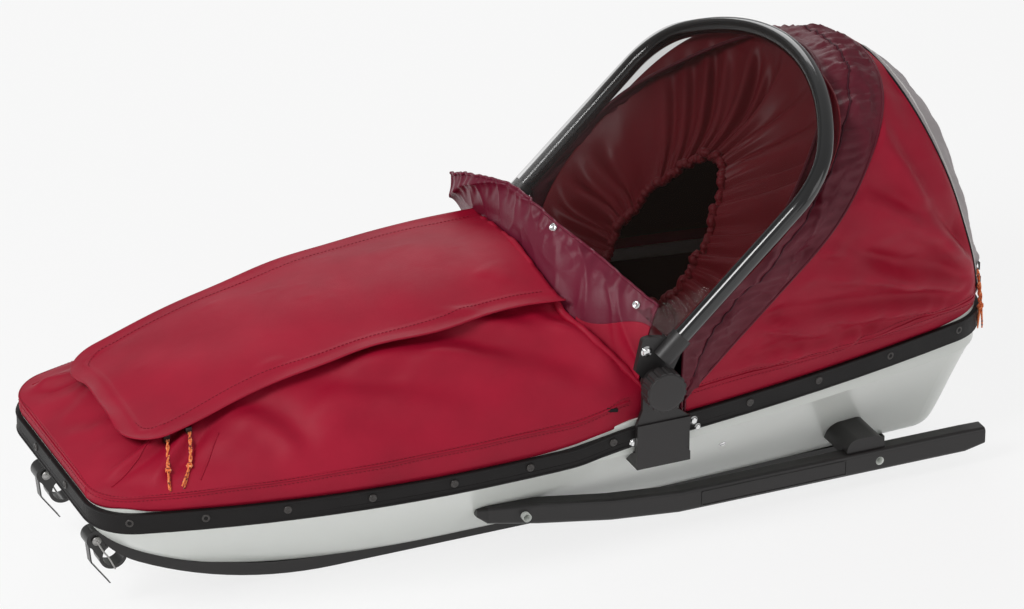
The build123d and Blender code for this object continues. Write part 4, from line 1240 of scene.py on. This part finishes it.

# Painted light: pale linings in the side runners' through holes stand in for the light seen through them,
# columns: x, z. Rings, columns: y, radius
LIT_HOLE_SPOTS = [(73.0, 74.0), (-496.0, 44.0)]
LIT_HOLE_RINGS = [(198.4, 6.2), (198.4, 6.45), (226.1, 6.45), (226.1, 6.2)]
LIT_HOLE_SIDES = 32
hole_light_parts = []
for x, z in LIT_HOLE_SPOTS:
    ring = circle(np.array([1.0, 0.0, 0.0]), np.array([0.0, 0.0, 1.0]), LIT_HOLE_SIDES)
    verts = np.concatenate([ring * radius + np.array([x, y, z]) for y, radius in LIT_HOLE_RINGS])
    faces = [[i % len(verts) for i in face] for face in skin(len(LIT_HOLE_RINGS) + 1, LIT_HOLE_SIDES)[:-2]]
    hole_light_parts += both_sides([(verts, faces)])
fit("runner_hole_painted_light", hole_light_parts, hull_paint)

# Webbing tab at the cover's rear port corner
TAB_FROM = Vector((-0.040, 0.5, 0.246))
TAB_HALF = 9.0
tab_x, tab_y, tab_z = np.array(cover_tree.ray_cast(TAB_FROM, Vector((0, -1, 0)))[0]) / MM
u, w = np.meshgrid(np.linspace(-TAB_HALF, TAB_HALF, 10), np.linspace(-3, 3, 5), indexing="ij")
tab_out = tab_y + 1.4 - (u / TAB_HALF) ** 4 * 1.6
tab_points = np.stack([tab_x + u, tab_out, tab_z + w + 0.25 * u], axis=-1)
tab = dress(grid("cover_tab", tab_points, black_cloth, thick=1.6))
subdivide(tab)

# Own mesh copies for the soft collar, its hem, facing and snaps
for piece in (collar, collar_hem, facing, snaps):
    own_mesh(piece)

# Light and stage
FLOOR_Z = -0.0005
FLOOR_HALF = 9.0
FLOOR_GLOW = 0.8
WORLD_LIGHT = 0.4
floor_look = Look("pale_floor", rough=0.9, spec=0.1)
floor_look.put(floor_look.shader, Base_Color=(0.86, 0.86, 0.86, 1.0))
glow = floor_look.add("Emission", Color=(1, 1, 1, 1))
mix = floor_look.add("MixShader")
ray = floor_look.add("LightPath")
join = floor_look.tree.links.new
seen_by = ray.outputs["Is Camera Ray"]
for kind in ("Is Glossy Ray", "Is Transmission Ray"):
    either = floor_look.add("Math")
    either.operation = "MAXIMUM"
    join(seen_by, either.inputs[0])
    join(ray.outputs[kind], either.inputs[1])
    seen_by = either.outputs[0]
seen = floor_look.add("Math")
seen.operation = "MULTIPLY"
seen.inputs[1].default_value = FLOOR_GLOW
join(seen_by, seen.inputs[0])
join(seen.outputs[0], mix.inputs[0])
join(floor_look.shader.outputs[0], mix.inputs[1])
join(glow.outputs[0], mix.inputs[2])
join(mix.outputs[0], floor_look.tree.nodes["Material Output"].inputs["Surface"])
floor_corners = [(x * FLOOR_HALF, y * FLOOR_HALF, FLOOR_Z) for x, y in ((-1, -1), (1, -1), (1, 1), (-1, 1))]
shape("floor", floor_corners, [(0, 1, 2, 3)], floor_look.mat)

world = bpy.data.worlds.new("studio")
scene.world = world
world.use_nodes = True
world.node_tree.nodes["Background"].inputs["Color"].default_value = (1.0, 1.0, 1.0, 1.0)
world.node_tree.nodes["Background"].inputs["Strength"].default_value = WORLD_LIGHT

# Lamps, columns: name, place, aim, width in metres, power in watts
LAMPS = [
    ("key", (2.9, 1.1, 3.0), (0.0, 0.0, 0.3), 1.4, 80.0),
    ("fill", (-2.6, 3.4, 1.6), (0.0, 0.0, 0.3), 2.2, 18.0),
    ("front", (0.8, 4.4, 0.8), (0.0, 0.0, 0.15), 2.4, 9.0),
    ("rear", (-1.2, -3.2, 2.6), (0.0, 0.0, 0.3), 2.0, 30.0),
]
for name, place, aim, width, power in LAMPS:
    data = bpy.data.lights.new(name, "AREA")
    data.size = width
    data.energy = power
    lamp = link(bpy.data.objects.new(name, data))
    lamp.location = place
    lamp.rotation_mode = "QUATERNION"
    lamp.rotation_quaternion = (Vector(aim) - Vector(place)).to_track_quat("-Z", "Y")
